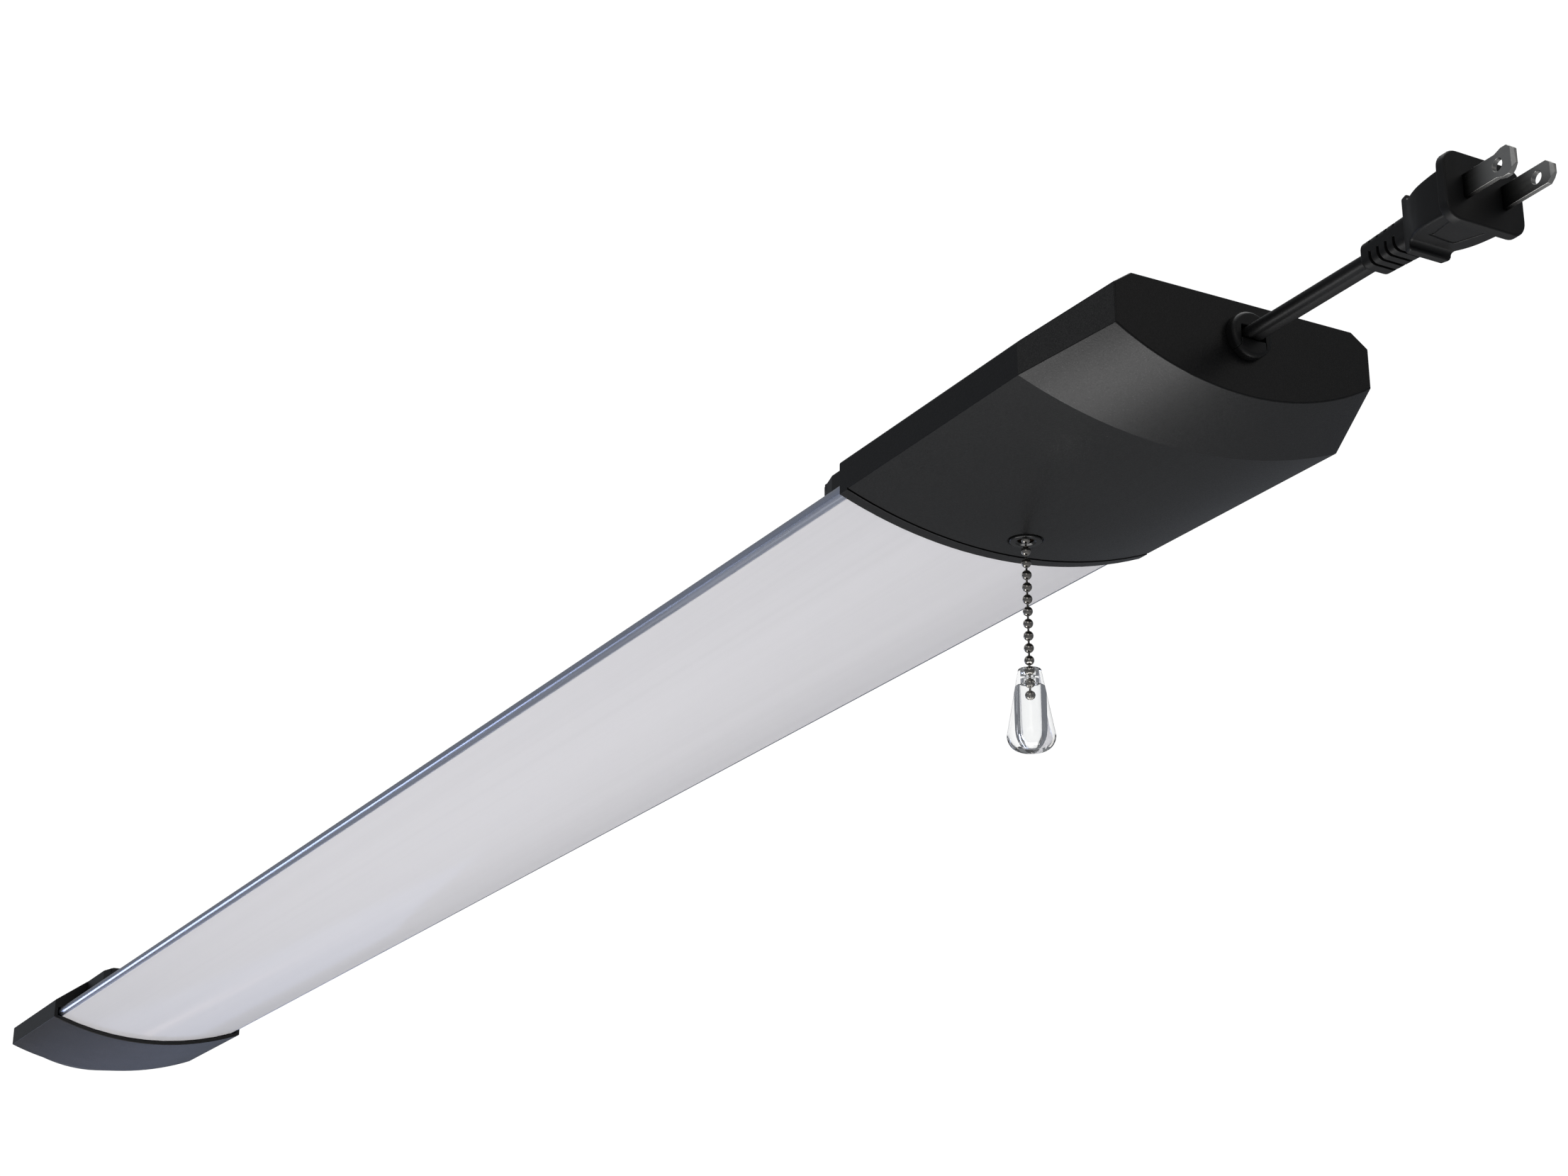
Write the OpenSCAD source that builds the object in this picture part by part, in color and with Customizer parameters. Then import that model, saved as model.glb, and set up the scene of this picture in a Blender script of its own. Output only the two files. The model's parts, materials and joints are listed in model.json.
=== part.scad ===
// Slim hanging shop light: a diffuser under a rolled aluminium channel between two moulded end
// caps, with a pull-chain switch and a two-blade plug on a short flat cord at the near end.
// X runs along the light towards the cord, Z is up. The origin lies on the flat top, in the
// middle of the four hanging holes.

/* [Light] */
// Length between the two end faces
light_len = 1174.4; // [900:0.2:1600]
// Width over the end caps
cap_w = 111.8; // [110:0.2:118]
// Width of the flat top of the caps
top_w = 76.6; // [74:0.2:79]
// Drop of the sloping shoulder from the flat top to the side wall
shoulder_drop = 12.5; // [12:0.1:14.5]
// Height of the upright side wall
side_h = 10.1; // [9:0.1:13]
// Bow of the underside below its two edges
belly = 10.7; // [9:0.1:13]

/* [End caps] */
// Length of one cap from its open rim to its end face
cap_len = 128.2; // [122:0.2:150]
// Wall thickness of the moulded caps and lids
wall = 2; // [1.6:0.1:2.4]
// Length of the tapered nose of a cap
taper_len = 30; // [24:0.2:34]
// Width of the end face
end_w = 88; // [84:0.5:94]
// Drop of the shoulder at the end face
end_drop = 3.95; // [3.5:0.05:5]
// Height of the side edge at the end face
end_side_h = 12.3; // [11:0.1:14]
// Bow of the underside at the end face
end_belly = 12.3; // [10:0.1:13]
// Width of the band round the near rim
lip_w = 4.5; // [3:0.5:7]
// How far that band stands proud of the underside
lip_h = 0.2; // [0.1:0.05:0.5]
// Width of the groove behind the band
band_groove_w = 0.6; // [0.4:0.1:1]
// Depth of that groove
band_groove_d = 0.5; // [0.3:0.1:0.8]
// Play between a lid and its seat
lid_fit = 0.2; // [0.1:0.05:0.4]

/* [Tongues] */
// Reach of the covers over the channel beyond the rims
tongue_l = 45; // [34:0.5:60]
// Length of the cut corner at a cover's tip
corner_len = 9.7; // [6:0.1:12]
// Depth of the cut corner at a cover's tip
corner_w = 2.7; // [1.5:0.1:4]

/* [Hanging holes] */
// Distance from the rim to the middle of a hanging hole
hang_inset = 14.5; // [12:0.5:18]
// Distance between the two holes of a pair, across the light
hang_gauge = 60; // [56:1:64]
// Diameter of a hanging hole
hang_d = 6; // [5:0.5:7]

/* [Channel] */
// Gap between the channel and the cap's side wall
channel_gap = 0.3; // [0.2:0.1:1]
// Depth of the channel's top plate below the flat top
channel_drop = 16.95; // [16.5:0.05:18]
// Sheet thickness of the channel
sheet_t = 0.9; // [0.7:0.1:1.2]
// Outer radius of the rolled edges
roll_r = 2.3; // [2.1:0.1:2.8]
// Width of the flange turned in below the roll
flange_w = 1.7; // [1.2:0.1:2]
// How far the channel reaches into the near cap
near_overlap = 6; // [4:0.5:6.5]
// How far the channel reaches into the far cap
far_overlap = 30; // [20:1:60]

/* [Diffuser] */
// Thickness of the diffuser
lens_t = 1.2; // [0.8:0.1:1.6]
// Gap between the diffuser and the inside of the caps
lens_fit = 0.25; // [0.2:0.05:0.4]
// Gap between the diffuser's legs and the turned-in flange
leg_fit = 0.3; // [0.2:0.05:0.4]
// Thickness of the diffuser's clip legs
leg_t = 1.2; // [0.9:0.1:1.5]
// Width of the barb that snaps over the flange
barb_w = 1.1; // [0.8:0.1:1.3]
// Height of that barb
barb_h = 0.8; // [0.6:0.1:1]

/* [Lamp boards] */
// Width of a lamp board
led_board_w = 20; // [16:0.5:26]
// Thickness of a lamp board
led_board_t = 1; // [0.8:0.1:1.6]
// Distance between two lamp chips
led_pitch = 13; // [10:0.5:20]
// Length of a lamp chip
led_l = 3.5; // [2.8:0.1:5]
// Width of a lamp chip
led_w = 2.8; // [2:0.1:3.5]
// Height of a lamp chip
led_h = 0.7; // [0.5:0.1:1]
// Gap between the two boards
board_gap = 2; // [1:0.5:4]

/* [Pull chain] */
// Distance from the near rim to the chain
chain_inset = 17.5; // [15:0.1:20]
// Diameter of a bead
bead_d = 3.1; // [2.4:0.1:3.2]
// Distance between two beads
bead_pitch = 3.94; // [3.7:0.02:4.4]
// Number of beads from the ring in the cap down to the last one in the pull
bead_count = 14; // [12:1:30]
// Diameter of the wire between the beads
wire_d = 0.7; // [0.5:0.05:0.9]
// Outer diameter of the ring nut round the chain
ring_d = 10.4; // [10:0.1:11]
// Bore of the ring nut and of the switch neck
ring_bore_d = 5; // [4.6:0.1:5.4]

/* [Pull] */
// Height of the clear pull
bob_h = 26.4; // [24:0.2:32]
// Diameter of the pull at its top
bob_top_d = 7.2; // [6.6:0.1:8]
// Greatest diameter of the pull
bob_d = 14.8; // [13:0.1:17]
// Diameter of the flat foot of the pull
bob_foot_d = 6.4; // [5:0.1:8]
// Height of the rounded bottom of the pull
bob_round_h = 4.6; // [4:0.1:6]
// Diameter of the neck bore
bob_neck_d = 3.6; // [3.5:0.05:4]
// Diameter of the wider hollow below the neck
bob_hollow_d = 6.3; // [5.6:0.1:6.5]
// Depth of the neck bore
bob_neck_h = 5.3; // [5:0.1:6]

/* [Switch] */
// Length of the switch case along the light
case_l = 25; // [24:0.5:28]
// Width of the switch case
case_w = 20; // [18:0.5:24]
// Height of the switch case below its cover
case_h = 23.4; // [22.8:0.1:24]
// Wall of the switch case
case_wall = 1.6; // [1.2:0.1:1.8]
// Travel of the chain
pull_travel = 8; // [5:0.5:8]
// Diameter of the contact drum
drum_d = 9; // [8:0.1:9.2]
// Diameter of the return spring's wire
spring_wire_d = 0.6; // [0.5:0.05:0.65]
// Mean diameter of the return spring
spring_d = 6; // [5.8:0.1:6.2]
// Number of turns of the return spring
spring_turns = 8; // [6:1:9]

/* [Cord and plug] */
// Width of the flat two-core cord
cord_w = 6.85; // [6.2:0.05:7.2]
// Thickness of the flat cord
cord_t = 3.45; // [3.1:0.05:3.6]
// Depth of the cord below the flat top
cord_drop = 10.9; // [10.5:0.1:11.5]
// Diameter of the strain relief's head
relief_d = 13.8; // [13:0.1:15]
// Thickness of the strain relief's head
relief_h = 3.5; // [3:0.1:4.5]
// Diameter of the strain relief's body in the end wall
relief_body_d = 11.6; // [11:0.1:12]
// Distance from the sleeve's rear to the finger ridges
ridge_offset = 21.6; // [20:0.2:23]
// Length of the plug from the sleeve's rear to its face
plug_l = 41.5; // [39:0.1:45]
// Width of the plug's face
plug_w = 25.7; // [24:0.1:27]
// Height of the plug's face
plug_h = 19.3; // [18:0.1:20]
// Thickness of the plug's front flange
plug_flange_t = 3.1; // [2.6:0.1:3.8]
// Distance between the two blades
blade_gap = 12.7; // [12.5:0.1:12.9]
// Length of the blades in front of the face
blade_l = 17.8; // [16.5:0.1:18.2]
// Thickness of a blade
blade_t = 1.5; // [1.4:0.05:1.65]
// Width of the narrow blade
live_w = 6.35; // [6.1:0.05:6.6]
// Width of the wide blade at its tip
neutral_w = 7.95; // [7.8:0.05:8.2]

/* [Driver] */
// Length of the driver board along the light
driver_l = 62; // [58:0.5:64]
// Width of the driver board
driver_w = 68; // [64:0.5:70]
// Thickness of the driver board
driver_t = 1.6; // [1.2:0.1:2]
// Depth of the driver board's upper face below the flat top
driver_drop = 22; // [21.6:0.1:22.4]
// Gap between the switch case and the driver board
driver_gap = 3.6; // [3:0.2:6]

/* [Hidden] */
$fn = 48;

// Overrun of every cut
cut = 1;
// Clearance of parts that seat on each other
seat = 0.1;
// Radial play of a screw or a pin in its hole
play = 0.05;

// Ends of the caps
x_end = light_len / 2;
x_rim = x_end - cap_len;
x_crease = x_end - taper_len;
cap_hw = cap_w / 2;
top_hw = top_w / 2;
end_hw = end_w / 2;
side_z = -shoulder_drop - side_h;
bottom_z = side_z - belly;
floor_z = bottom_z + wall;
belly_r = (cap_hw * cap_hw + belly * belly) / (2 * belly);
belly_z = bottom_z + belly_r;
arc_steps = 24;

// Channel and diffuser
channel_z = -channel_drop;
channel_hw = cap_hw - wall - channel_gap;
roll_y = channel_hw - roll_r;
roll_z = channel_z - roll_r;
channel_near = x_rim + near_overlap;
channel_far = -x_rim - far_overlap;
flange_y = roll_y - flange_w;
flange_z = channel_z - 2 * roll_r;
lens_r = belly_r - wall - lens_fit;
lens_inset = 0.3;
lens_hw = roll_y - lens_inset;
leg_y = flange_y - leg_fit;
barb_z = flange_z + sheet_t + leg_fit;
lens_near = channel_near - seat;
lens_far = channel_far + seat;

// Screws of the caps
screw_r = 1.45;
head_r = 2.9;
head_h = 1.8;
boss_r = 3.5;
boss_depth = 12;
boss_gap = 1.5;
lid_ledge = 1.5;
lid_screw_l = 11;
front_boss_y = top_hw - head_r - lid_ledge - boss_gap;
rear_boss_y = 28;
rear_boss_x = x_end - wall - boss_r + boss_gap / 2;
wire_gap_w = 30;
post_r = 4;
post_y = 18;
post_floor = 2.7;
post_bore_r = 3.2;
channel_screw_l = 8;
hang_x = x_rim - hang_inset;

// Chain
chain_x = x_rim + chain_inset;
bead_r = bead_d / 2;
wire_r = wire_d / 2;
bead_rise = 0.6;
bead_top_z = bottom_z + bead_rise;
bead_bottom_z = bead_top_z - (bead_count - 1) * bead_pitch;
wire_gap = 0.02;
pivot_gap = 0.1;
bob_beads = 2.26;
bob_top_z = bead_bottom_z + bob_beads * bead_pitch;
bob_bottom_z = bob_top_z - bob_h;
bob_floor_t = 2.4;
bob_lip_r = 1;
bob_lip_fit = 0.1;

// Ring nut and switch neck
ring_proud = 0.45;
ring_seat = 0.8;
ring_face_t = 0.6;
neck_r = 3.9;
ring_sleeve_r = 4.6;
ring_edge_r = 0.45;
ring_land = 1.6;
ring_taper_share = 0.7;

// Switch case
case_back = 7.1;
case_x0 = chain_x - case_back;
case_x1 = case_x0 + case_l;
case_z0 = floor_z + 4 * seat;
case_z1 = case_z0 + case_h;
case_floor = 3;
case_floor_z = case_z0 + case_floor;
cover_t = 1.6;
drum_r = drum_d / 2;
drum_w = 10;
drum_reach = 9.6;
drum_rise = 10.9;
drum_x = chain_x + drum_reach;
drum_z = case_floor_z + drum_rise;
drum_teeth = 8;
tooth_d = 0.7;
tooth_w = 1.1;
pin_r = 1;
rod_r = 1.6;
rod_foot = 1.3;
head_rise = 15.9;
head_z = case_floor_z + head_rise;
plunger_head_r = 4.4;
plunger_head_t = 1.5;
pawl_reach = 0.4;
pawl_w = 3;
stem_h = 2.5;
socket_h = 2;
leaf_w = 4;
leaf_t = 0.5;
leaf_gap = 0.3;
leaf_low = 6.1;
leaf_up = 3.2;

// Strain relief and cord
cord_z = -cord_drop;
relief_x = x_end + relief_h;
relief_slot_w = 8.3;
relief_slot_h = 3.9;
relief_body_l = 8;
relief_round = 1.4;
wedge_gap = 0.1;
wedge_flare = 4;
core_r = cord_t / 2;
core_y = (cord_w - cord_t) / 2;
lead_r = 1.1;
tail_l = 21;

// The cord's route, as steps from the front of the strain relief to the rear of the plug
cord_steps = [
  [0, 0, 0], [2, 0, 0], [5, 0, 0], [8, 0, 0], [12, 0, 0], [15, 0, 0], [18, 0, 0], [22, 0, 0],
  [25, 0, 0], [28, 0, 0], [32, 0, 0], [35, 0, 0], [38, 0, 0], [42, 0, 0], [46, 0, 0], [50, 0, 0]
];
cord_exit = [relief_x, 0, cord_z];
cord_route = [for (p = cord_steps) cord_exit + p];
cord_ring_steps = 3;
plug_x = relief_x + cord_steps[len(cord_steps) - 1][0];
face_x = plug_x + plug_l;
flange_x = face_x - plug_flange_t;
ridge_x = plug_x + ridge_offset;
ridge_r = 1.4;
ridge_top = 7.9;
ridge_w = 14.4;
groove_w = 1.1;
groove_d = 0.9;
groove_pitch = 3.13;
groove_count = 4;
groove_offset = 3.5;
groove_x0 = plug_x + groove_offset;
sleeve_w = 9.8;
sleeve_h = 7.4;
sleeve_tip = 1.4;
sleeve_flare_w = 0.8;
sleeve_flare_h = 1.4;
sleeve_round = 2.4;
spine_h = 2.6;
blade_root = 9;
blade_root_w = live_w;
blade_hole_r = 1.7;
blade_hole_x = 12;
blade_tip_l = 2.3;
tip_drop_share = 0.85;
blade_flare_x = 11.2;
blade_flare_l = 2.3;
blade_fit = 0.02;

// Lamp boards
led_z = channel_z - sheet_t - led_board_t;
board_inset = 4;
board_near_x1 = channel_near - board_inset;
board_far_x0 = channel_far + board_inset;
board_mid = (board_near_x1 + board_far_x0) / 2;
led_board_l = (board_near_x1 - board_far_x0 - board_gap) / 2;
led_count = floor((led_board_l - led_pitch) / led_pitch) + 1;
led_margin = (led_board_l - (led_count - 1) * led_pitch) / 2;
board_screw_r = 1.2;
board_screw_head_r = 2.2;
board_screw_head_h = 1.2;
board_screw_count = 5;
board_screw_inset = 0.6;
board_screw_y = led_board_w / 2 - board_screw_head_r - board_screw_inset;
board_screw_shares = [0.04, 0.27, 0.5, 0.73, 0.96];
jumper_l = 9;
jumper_w = 8;
jumper_h = 2.4;
jumper_inset = 1;
jumper_rim = 1.5;

// Driver board and the pieces on it
driver_x0 = case_x1 + driver_gap;
driver_x1 = driver_x0 + driver_l;
driver_z = -driver_drop;
driver_hw = driver_w / 2;
driver_post_inset = 4;
driver_post_r = 3.2;
driver_screw_r = 1.2;
driver_screw_head_r = 2.4;
driver_screw_head_h = 1.4;
driver_screw_l = 5;
core_l = 24;
core_w = 11;
core_h = 17;
core_bar = 3;
core_leg = 6;
core_side = 3;
winding_fit = 0.2;
winding_w = 19;
bulk_d = 10;
bulk_h = 15;
bulk_bead_h = 2.2;
bulk_groove_d = 0.6;
film_size = [13, 6.5, 11];
choke_d = 12;
choke_h = 13;
choke_flange_t = 1.5;
choke_wind_d = 10.4;
fuse_d = 4;
fuse_l = 11;
fuse_cap_l = 2.4;
fuse_glass_d = 3.6;
bridge_size = [10, 4, 9];
sink_size = [16, 2, 15];
sink_foot = 6;
transistor_size = [10, 4.4, 9];
transistor_drop = 3;
transistor_pitch = 2.5;
pin_w = 0.7;
chip_size = [5, 4, 1.5];
connector_size = [7, 11, 8];
connector_hole = 2.2;

function clamp_root(v) = sqrt(max(v, 0));
// Place of a cap's front screws, behind the end of the channel
function front_boss_x(overlap) = x_rim + overlap + boss_r + boss_gap;
// Height of a cap's underside at y, a given depth inside its skin
function belly_at(y, inset) = belly_z - clamp_root(pow(belly_r - inset, 2) - y * y);

// Points of a bowed underside, from +hw to -hw
function bow(hw, z_edge, depth, inset) =
  let (r = (hw * hw + depth * depth) / (2 * depth),
       cz = z_edge - depth + r,
       a = asin((hw - inset) / (r - inset)))
  [for (i = [0 : arc_steps])
    let (t = a - 2 * a * i / arc_steps) [(r - inset) * sin(t), cz - (r - inset) * cos(t)]];

// Outline of a cap across the light, a given depth inside its skin
function cap_outline(hw, drop, side, depth, inset) =
  let (slope = drop / (hw - top_hw),
       slant = inset * sqrt(1 + slope * slope),
       y_top = top_hw - (slant - inset) / slope,
       z_side = -(hw - inset - top_hw) * slope - slant)
  concat([[y_top, -inset], [hw - inset, z_side]],
         bow(hw, -drop - side, depth, inset),
         [[-(hw - inset), z_side], [-y_top, -inset]]);

function main_outline(inset) = cap_outline(cap_hw, shoulder_drop, side_h, belly, inset);
function end_outline(inset) = cap_outline(end_hw, end_drop, end_side_h, end_belly, inset);

// Solid through outlines that stand across X, each given as [x, points]
module loft(stations) {
  n = len(stations[0][1]);
  k = len(stations);
  pts = [for (s = stations) for (p = s[1]) [s[0], p[0], p[1]]];
  sides = [for (s = [0 : k - 2]) for (i = [0 : n - 1])
    let (a = s * n + i, b = s * n + (i + 1) % n)
    each [[a, b, b + n], [a, b + n, a + n]]];
  polyhedron(pts, concat([[for (i = [n - 1 : -1 : 0]) i]],
                         sides, [[for (i = [0 : n - 1]) (k - 1) * n + i]]));
}

// Extrudes a drawing of Y and Z along X
module along_x(x0, x1) {
  translate([x0, 0, 0]) rotate([90, 0, 90]) linear_extrude(x1 - x0) children();
}

// The same piece at +y and -y
module both_sides() {
  children();
  mirror([0, 1, 0]) children();
}

module far_end() {
  mirror([1, 0, 0]) children();
}

function unit(v) = v / norm(v);
// A point of a smooth curve through four points, t of the way from b to c
function smooth(a, b, c, d, t) =
  0.5 * (2 * b + (c - a) * t + (2 * a - 5 * b + 4 * c - d) * t * t
         + (3 * b - 3 * c + d - a) * t * t * t);
function smooth_path(p, steps) =
  let (n = len(p), q = concat([2 * p[0] - p[1]], p, [2 * p[n - 1] - p[n - 2]]))
  concat([for (i = [1 : n - 1]) for (s = [0 : steps - 1])
           smooth(q[i - 1], q[i], q[i + 1], q[i + 2], s / steps)], [p[n - 1]]);
function tangents(p) =
  [for (i = [0 : len(p) - 1]) unit(p[min(i + 1, len(p) - 1)] - p[max(i - 1, 0)])];
function across(n, t) = unit(n - (n * t) * t);
// Side vectors that turn as little as they can along the path
function side_vectors(t, n, i = 0) =
  i == len(t) ? [] : let (m = across(n, t[i])) concat([m], side_vectors(t, m, i + 1));

// A tube whose section is a list of [across, up] offsets
module swept(path, section, side) {
  t = tangents(path);
  s = side_vectors(t, side);
  m = len(section);
  n = len(path);
  pts = [for (i = [0 : n - 1]) for (q = section) path[i] + q[0] * s[i] + q[1] * cross(t[i], s[i])];
  sides = [for (i = [0 : n - 2]) for (j = [0 : m - 1])
    let (a = i * m + j, b = i * m + (j + 1) % m)
    each [[a, b + m, b], [a, a + m, b + m]]];
  polyhedron(pts, concat([[for (j = [0 : m - 1]) j]],
                         sides, [[for (j = [m - 1 : -1 : 0]) (n - 1) * m + j]]));
}

function ring_section(r, sides) =
  [for (j = [0 : sides - 1]) [r * cos(360 * j / sides), r * sin(360 * j / sides)]];

// Sheet-metal channel with rolled edges
module channel_profile() {
  translate([-roll_y, channel_z - sheet_t]) square([2 * roll_y, sheet_t]);
  for (s = [1, -1]) scale_side(s) {
    intersection() {
      translate([roll_y, roll_z]) difference() {
        circle(roll_r);
        circle(roll_r - sheet_t);
      }
      translate([roll_y, roll_z - 2 * roll_r]) square([2 * roll_r, 4 * roll_r]);
    }
    translate([flange_y, flange_z]) square([flange_w, sheet_t]);
  }
}

module scale_side(s) {
  mirror([s < 0 ? 1 : 0, 0, 0]) children();
}

module housing() {
  color("#aab4d4") difference() {
    along_x(channel_far, channel_near) channel_profile();
    channel_screw_holes();
    far_end() channel_screw_holes();
    board_screw_places() translate([0, 0, -cut]) cylinder(h = 2 * cut + sheet_t, r = board_screw_r + play);
  }
}

module channel_screw_holes() {
  both_sides() translate([hang_x, post_y, channel_z - sheet_t - cut])
    cylinder(h = sheet_t + 2 * cut, r = screw_r + play);
}

// Diffuser: a bowed strip with two clip legs
module lens_profile() {
  intersection() {
    translate([0, belly_z]) difference() {
      circle(lens_r, $fn = 360);
      circle(lens_r - lens_t, $fn = 360);
    }
    translate([-lens_hw, bottom_z]) square([2 * lens_hw, flange_z - seat - bottom_z]);
  }
  for (s = [1, -1]) scale_side(s) {
    leg_foot = belly_z - clamp_root(pow(lens_r - lens_t / 4, 2) - leg_y * leg_y);
    translate([leg_y - leg_t, leg_foot]) square([leg_t, barb_z + barb_h - leg_foot]);
    translate([leg_y - leg_t / 2, barb_z]) square([leg_t / 2 + barb_w, barb_h]);
  }
}

module lens() {
  color("#d4d2d8") along_x(lens_far, lens_near) lens_profile();
}

// Places of the screws that hold the lamp boards, at the lower face of the channel's top plate
module board_screw_places() {
  for (x0 = [board_mid + board_gap / 2, board_mid - board_gap / 2 - led_board_l])
    for (i = [0 : board_screw_count - 1])
      translate([x0 + board_screw_shares[i] * led_board_l, (i % 2 == 0 ? 1 : -1) * board_screw_y,
                 channel_z - sheet_t]) children();
}

module led_board(x0) {
  color("#e8e8e4") difference() {
    translate([x0, -led_board_w / 2, led_z]) cube([led_board_l, led_board_w, led_board_t]);
    board_screw_places() translate([0, 0, -led_board_t - cut])
      cylinder(h = led_board_t + 2 * cut, r = board_screw_r + play);
  }
}

module led_chips(x0) {
  color("#f2e08a") for (i = [0 : led_count - 1])
    translate([x0 + led_margin + i * led_pitch - led_l / 2, -led_w / 2, led_z - led_h])
      cube([led_l, led_w, led_h]);
}

module led_board_near() {
  led_board(board_mid + board_gap / 2);
}

module led_board_far() {
  led_board(board_mid - board_gap / 2 - led_board_l);
}

module led_chips_near() {
  led_chips(board_mid + board_gap / 2);
}

module led_chips_far() {
  led_chips(board_mid - board_gap / 2 - led_board_l);
}

// Plug-in link that joins the two lamp boards
module board_jumper() {
  color("#f4f4f0")
    translate([board_mid - jumper_l / 2, -led_board_w / 2 + jumper_inset, led_z - jumper_h]) difference() {
      cube([jumper_l, jumper_w, jumper_h]);
      translate([jumper_rim, jumper_rim, -cut])
        cube([jumper_l - 2 * jumper_rim, jumper_w - 2 * jumper_rim, cut + jumper_h / 3]);
    }
}

module board_screws() {
  color("#b8b8bc") board_screw_places() {
    translate([0, 0, -led_board_t]) cylinder(h = led_board_t + 3 * sheet_t, r = board_screw_r);
    translate([0, 0, -led_board_t - board_screw_head_h])
      cylinder(h = board_screw_head_h, r = board_screw_head_r);
  }
}

// One moulded cap at the near end, without what only one end has
module cap_shell(overlap) {
  difference() {
    loft([[x_rim, main_outline(0)], [x_crease, main_outline(0)], [x_end, end_outline(0)]]);
    loft([[x_rim + wall, main_outline(wall)], [x_crease, main_outline(wall)],
          [x_end - wall, end_outline(wall)]]);
    // Opening for the channel and the diffuser
    intersection() {
      loft([[x_rim - cut, main_outline(wall)], [x_rim + 2 * wall, main_outline(wall)]]);
      translate([x_rim - cut, -cap_hw, bottom_z])
        cube([2 * cut + wall, cap_w, channel_z + lid_fit - bottom_z]);
    }
    // Opening for the lid
    translate([x_rim - cut, -top_hw + lid_ledge, -wall - lid_fit])
      cube([cap_len - wall + cut + lid_fit, top_w - 2 * lid_ledge, wall + lid_fit + cut]);
    // Wire gap in the rim wall
    translate([x_rim - cut, -wire_gap_w / 2, channel_z])
      cube([wall + 2 * cut, wire_gap_w, -channel_z]);
  }
  both_sides() {
    front_foot = belly_at(front_boss_y - boss_r, wall) - wall / 6;
    lid_boss(front_boss_x(overlap), front_boss_y, front_foot);
    lid_boss(rear_boss_x, rear_boss_y, -wall - boss_depth);
  }
}

// Post that carries one lid screw
module lid_boss(x, y, z) {
  translate([x, y, z]) difference() {
    cylinder(h = -wall - seat - z, r = boss_r);
    translate([0, 0, -wall - seat - z - boss_depth + cut])
      cylinder(h = boss_depth, r = screw_r + play);
  }
}

// Band round the near rim
module rim_lip() {
  intersection() {
    along_x(x_rim, x_rim + lip_w) difference() {
      translate([0, belly_z]) circle(belly_r + lip_h, $fn = 360);
      translate([0, belly_z]) circle(belly_r - wall / 2, $fn = 360);
    }
    translate([x_rim - cut, -cap_hw, bottom_z - 2 * lip_h])
      cube([lip_w + 2 * cut, cap_w, side_z - bottom_z + 2 * lip_h + seat]);
  }
}

// Groove behind that band
module rim_groove() {
  along_x(x_rim + lip_w, x_rim + lip_w + band_groove_w) difference() {
    translate([-cap_w, side_z - belly - cut]) square([2 * cap_w, belly + band_groove_d + cut]);
    translate([0, belly_z]) circle(belly_r - band_groove_d, $fn = 360);
  }
}

module driver_places() {
  both_sides() for (x = [driver_x0 + driver_post_inset, driver_x1 - driver_post_inset])
    translate([x, driver_hw - driver_post_inset, driver_z]) children();
}

module near_cap() {
  color("#2c2d30") difference() {
    union() {
      cap_shell(near_overlap);
      rim_lip();
      post_y0 = driver_hw - driver_post_inset - driver_post_r;
      driver_foot = belly_at(post_y0, wall) - wall / 6;
      driver_places() translate([0, 0, driver_foot - driver_z])
        cylinder(h = driver_z - driver_t - driver_foot, r = driver_post_r);
    }
    driver_places() translate([0, 0, -driver_t - driver_screw_l])
      cylinder(h = driver_screw_l + cut, r = driver_screw_r + play);
    rim_groove();
    // Hole and seat of the ring nut
    translate([chain_x, 0, bottom_z - cut]) {
      cylinder(h = wall + 2 * cut, r = ring_sleeve_r + seat);
      cylinder(h = cut + ring_seat, r = ring_d / 2 + 3 * seat);
    }
    // Hole of the strain relief
    translate([x_end - wall - cut, 0, cord_z]) rotate([0, 90, 0])
      cylinder(h = wall + 2 * cut, r = relief_body_d / 2 + seat);
  }
}

module far_cap() {
  color("#2c2d30") far_end() cap_shell(far_overlap);
}

// Top cover of a cap with the tongue that reaches over the channel
module lid(overlap) {
  tip = x_rim - tongue_l;
  foot = channel_z + seat;
  difference() {
    union() {
      difference() {
        tongue_block(tip, x_rim - lid_fit, top_hw, foot, 0);
        tongue_block(tip + wall, x_rim + cut, top_hw - wall, foot - cut, -wall);
      }
      translate([tip + wall, -top_hw + lid_ledge + lid_fit, -wall])
        cube([x_end - wall - tip - wall, top_w - 2 * lid_ledge - 2 * lid_fit, wall]);
      both_sides() translate([hang_x, post_y, foot]) cylinder(h = -wall / 2 - foot, r = post_r);
    }
    both_sides() translate([hang_x, post_y, foot]) {
      translate([0, 0, post_floor]) cylinder(h = -foot, r = post_bore_r);
      translate([0, 0, -cut]) cylinder(h = post_floor + 2 * cut, r = screw_r + play);
    }
    both_sides() {
      translate([hang_x, hang_gauge / 2, -wall - cut]) cylinder(h = wall + 2 * cut, r = hang_d / 2);
      lid_screw_hole(front_boss_x(overlap), front_boss_y);
      lid_screw_hole(rear_boss_x, rear_boss_y);
    }
  }
}

// Upright block with cut corners at its tip
module tongue_block(x0, x1, hw, z0, z1) {
  translate([0, 0, z0]) linear_extrude(z1 - z0)
    polygon([[x0, -hw + corner_w], [x0 + corner_len, -hw], [x1, -hw],
             [x1, hw], [x0 + corner_len, hw], [x0, hw - corner_w]]);
}

module lid_screw_hole(x, y) {
  translate([x, y, -wall - cut]) cylinder(h = wall + 2 * cut, r = screw_r + play);
  translate([x, y, -head_h]) cylinder(h = head_h, r1 = screw_r + seat + play, r2 = head_r + seat + play);
  translate([x, y, 0]) cylinder(h = cut, r = head_r + seat + play);
}

module near_lid() {
  color("#26272a") lid(near_overlap);
}

module far_lid() {
  color("#26272a") far_end() lid(far_overlap);
}

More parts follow.
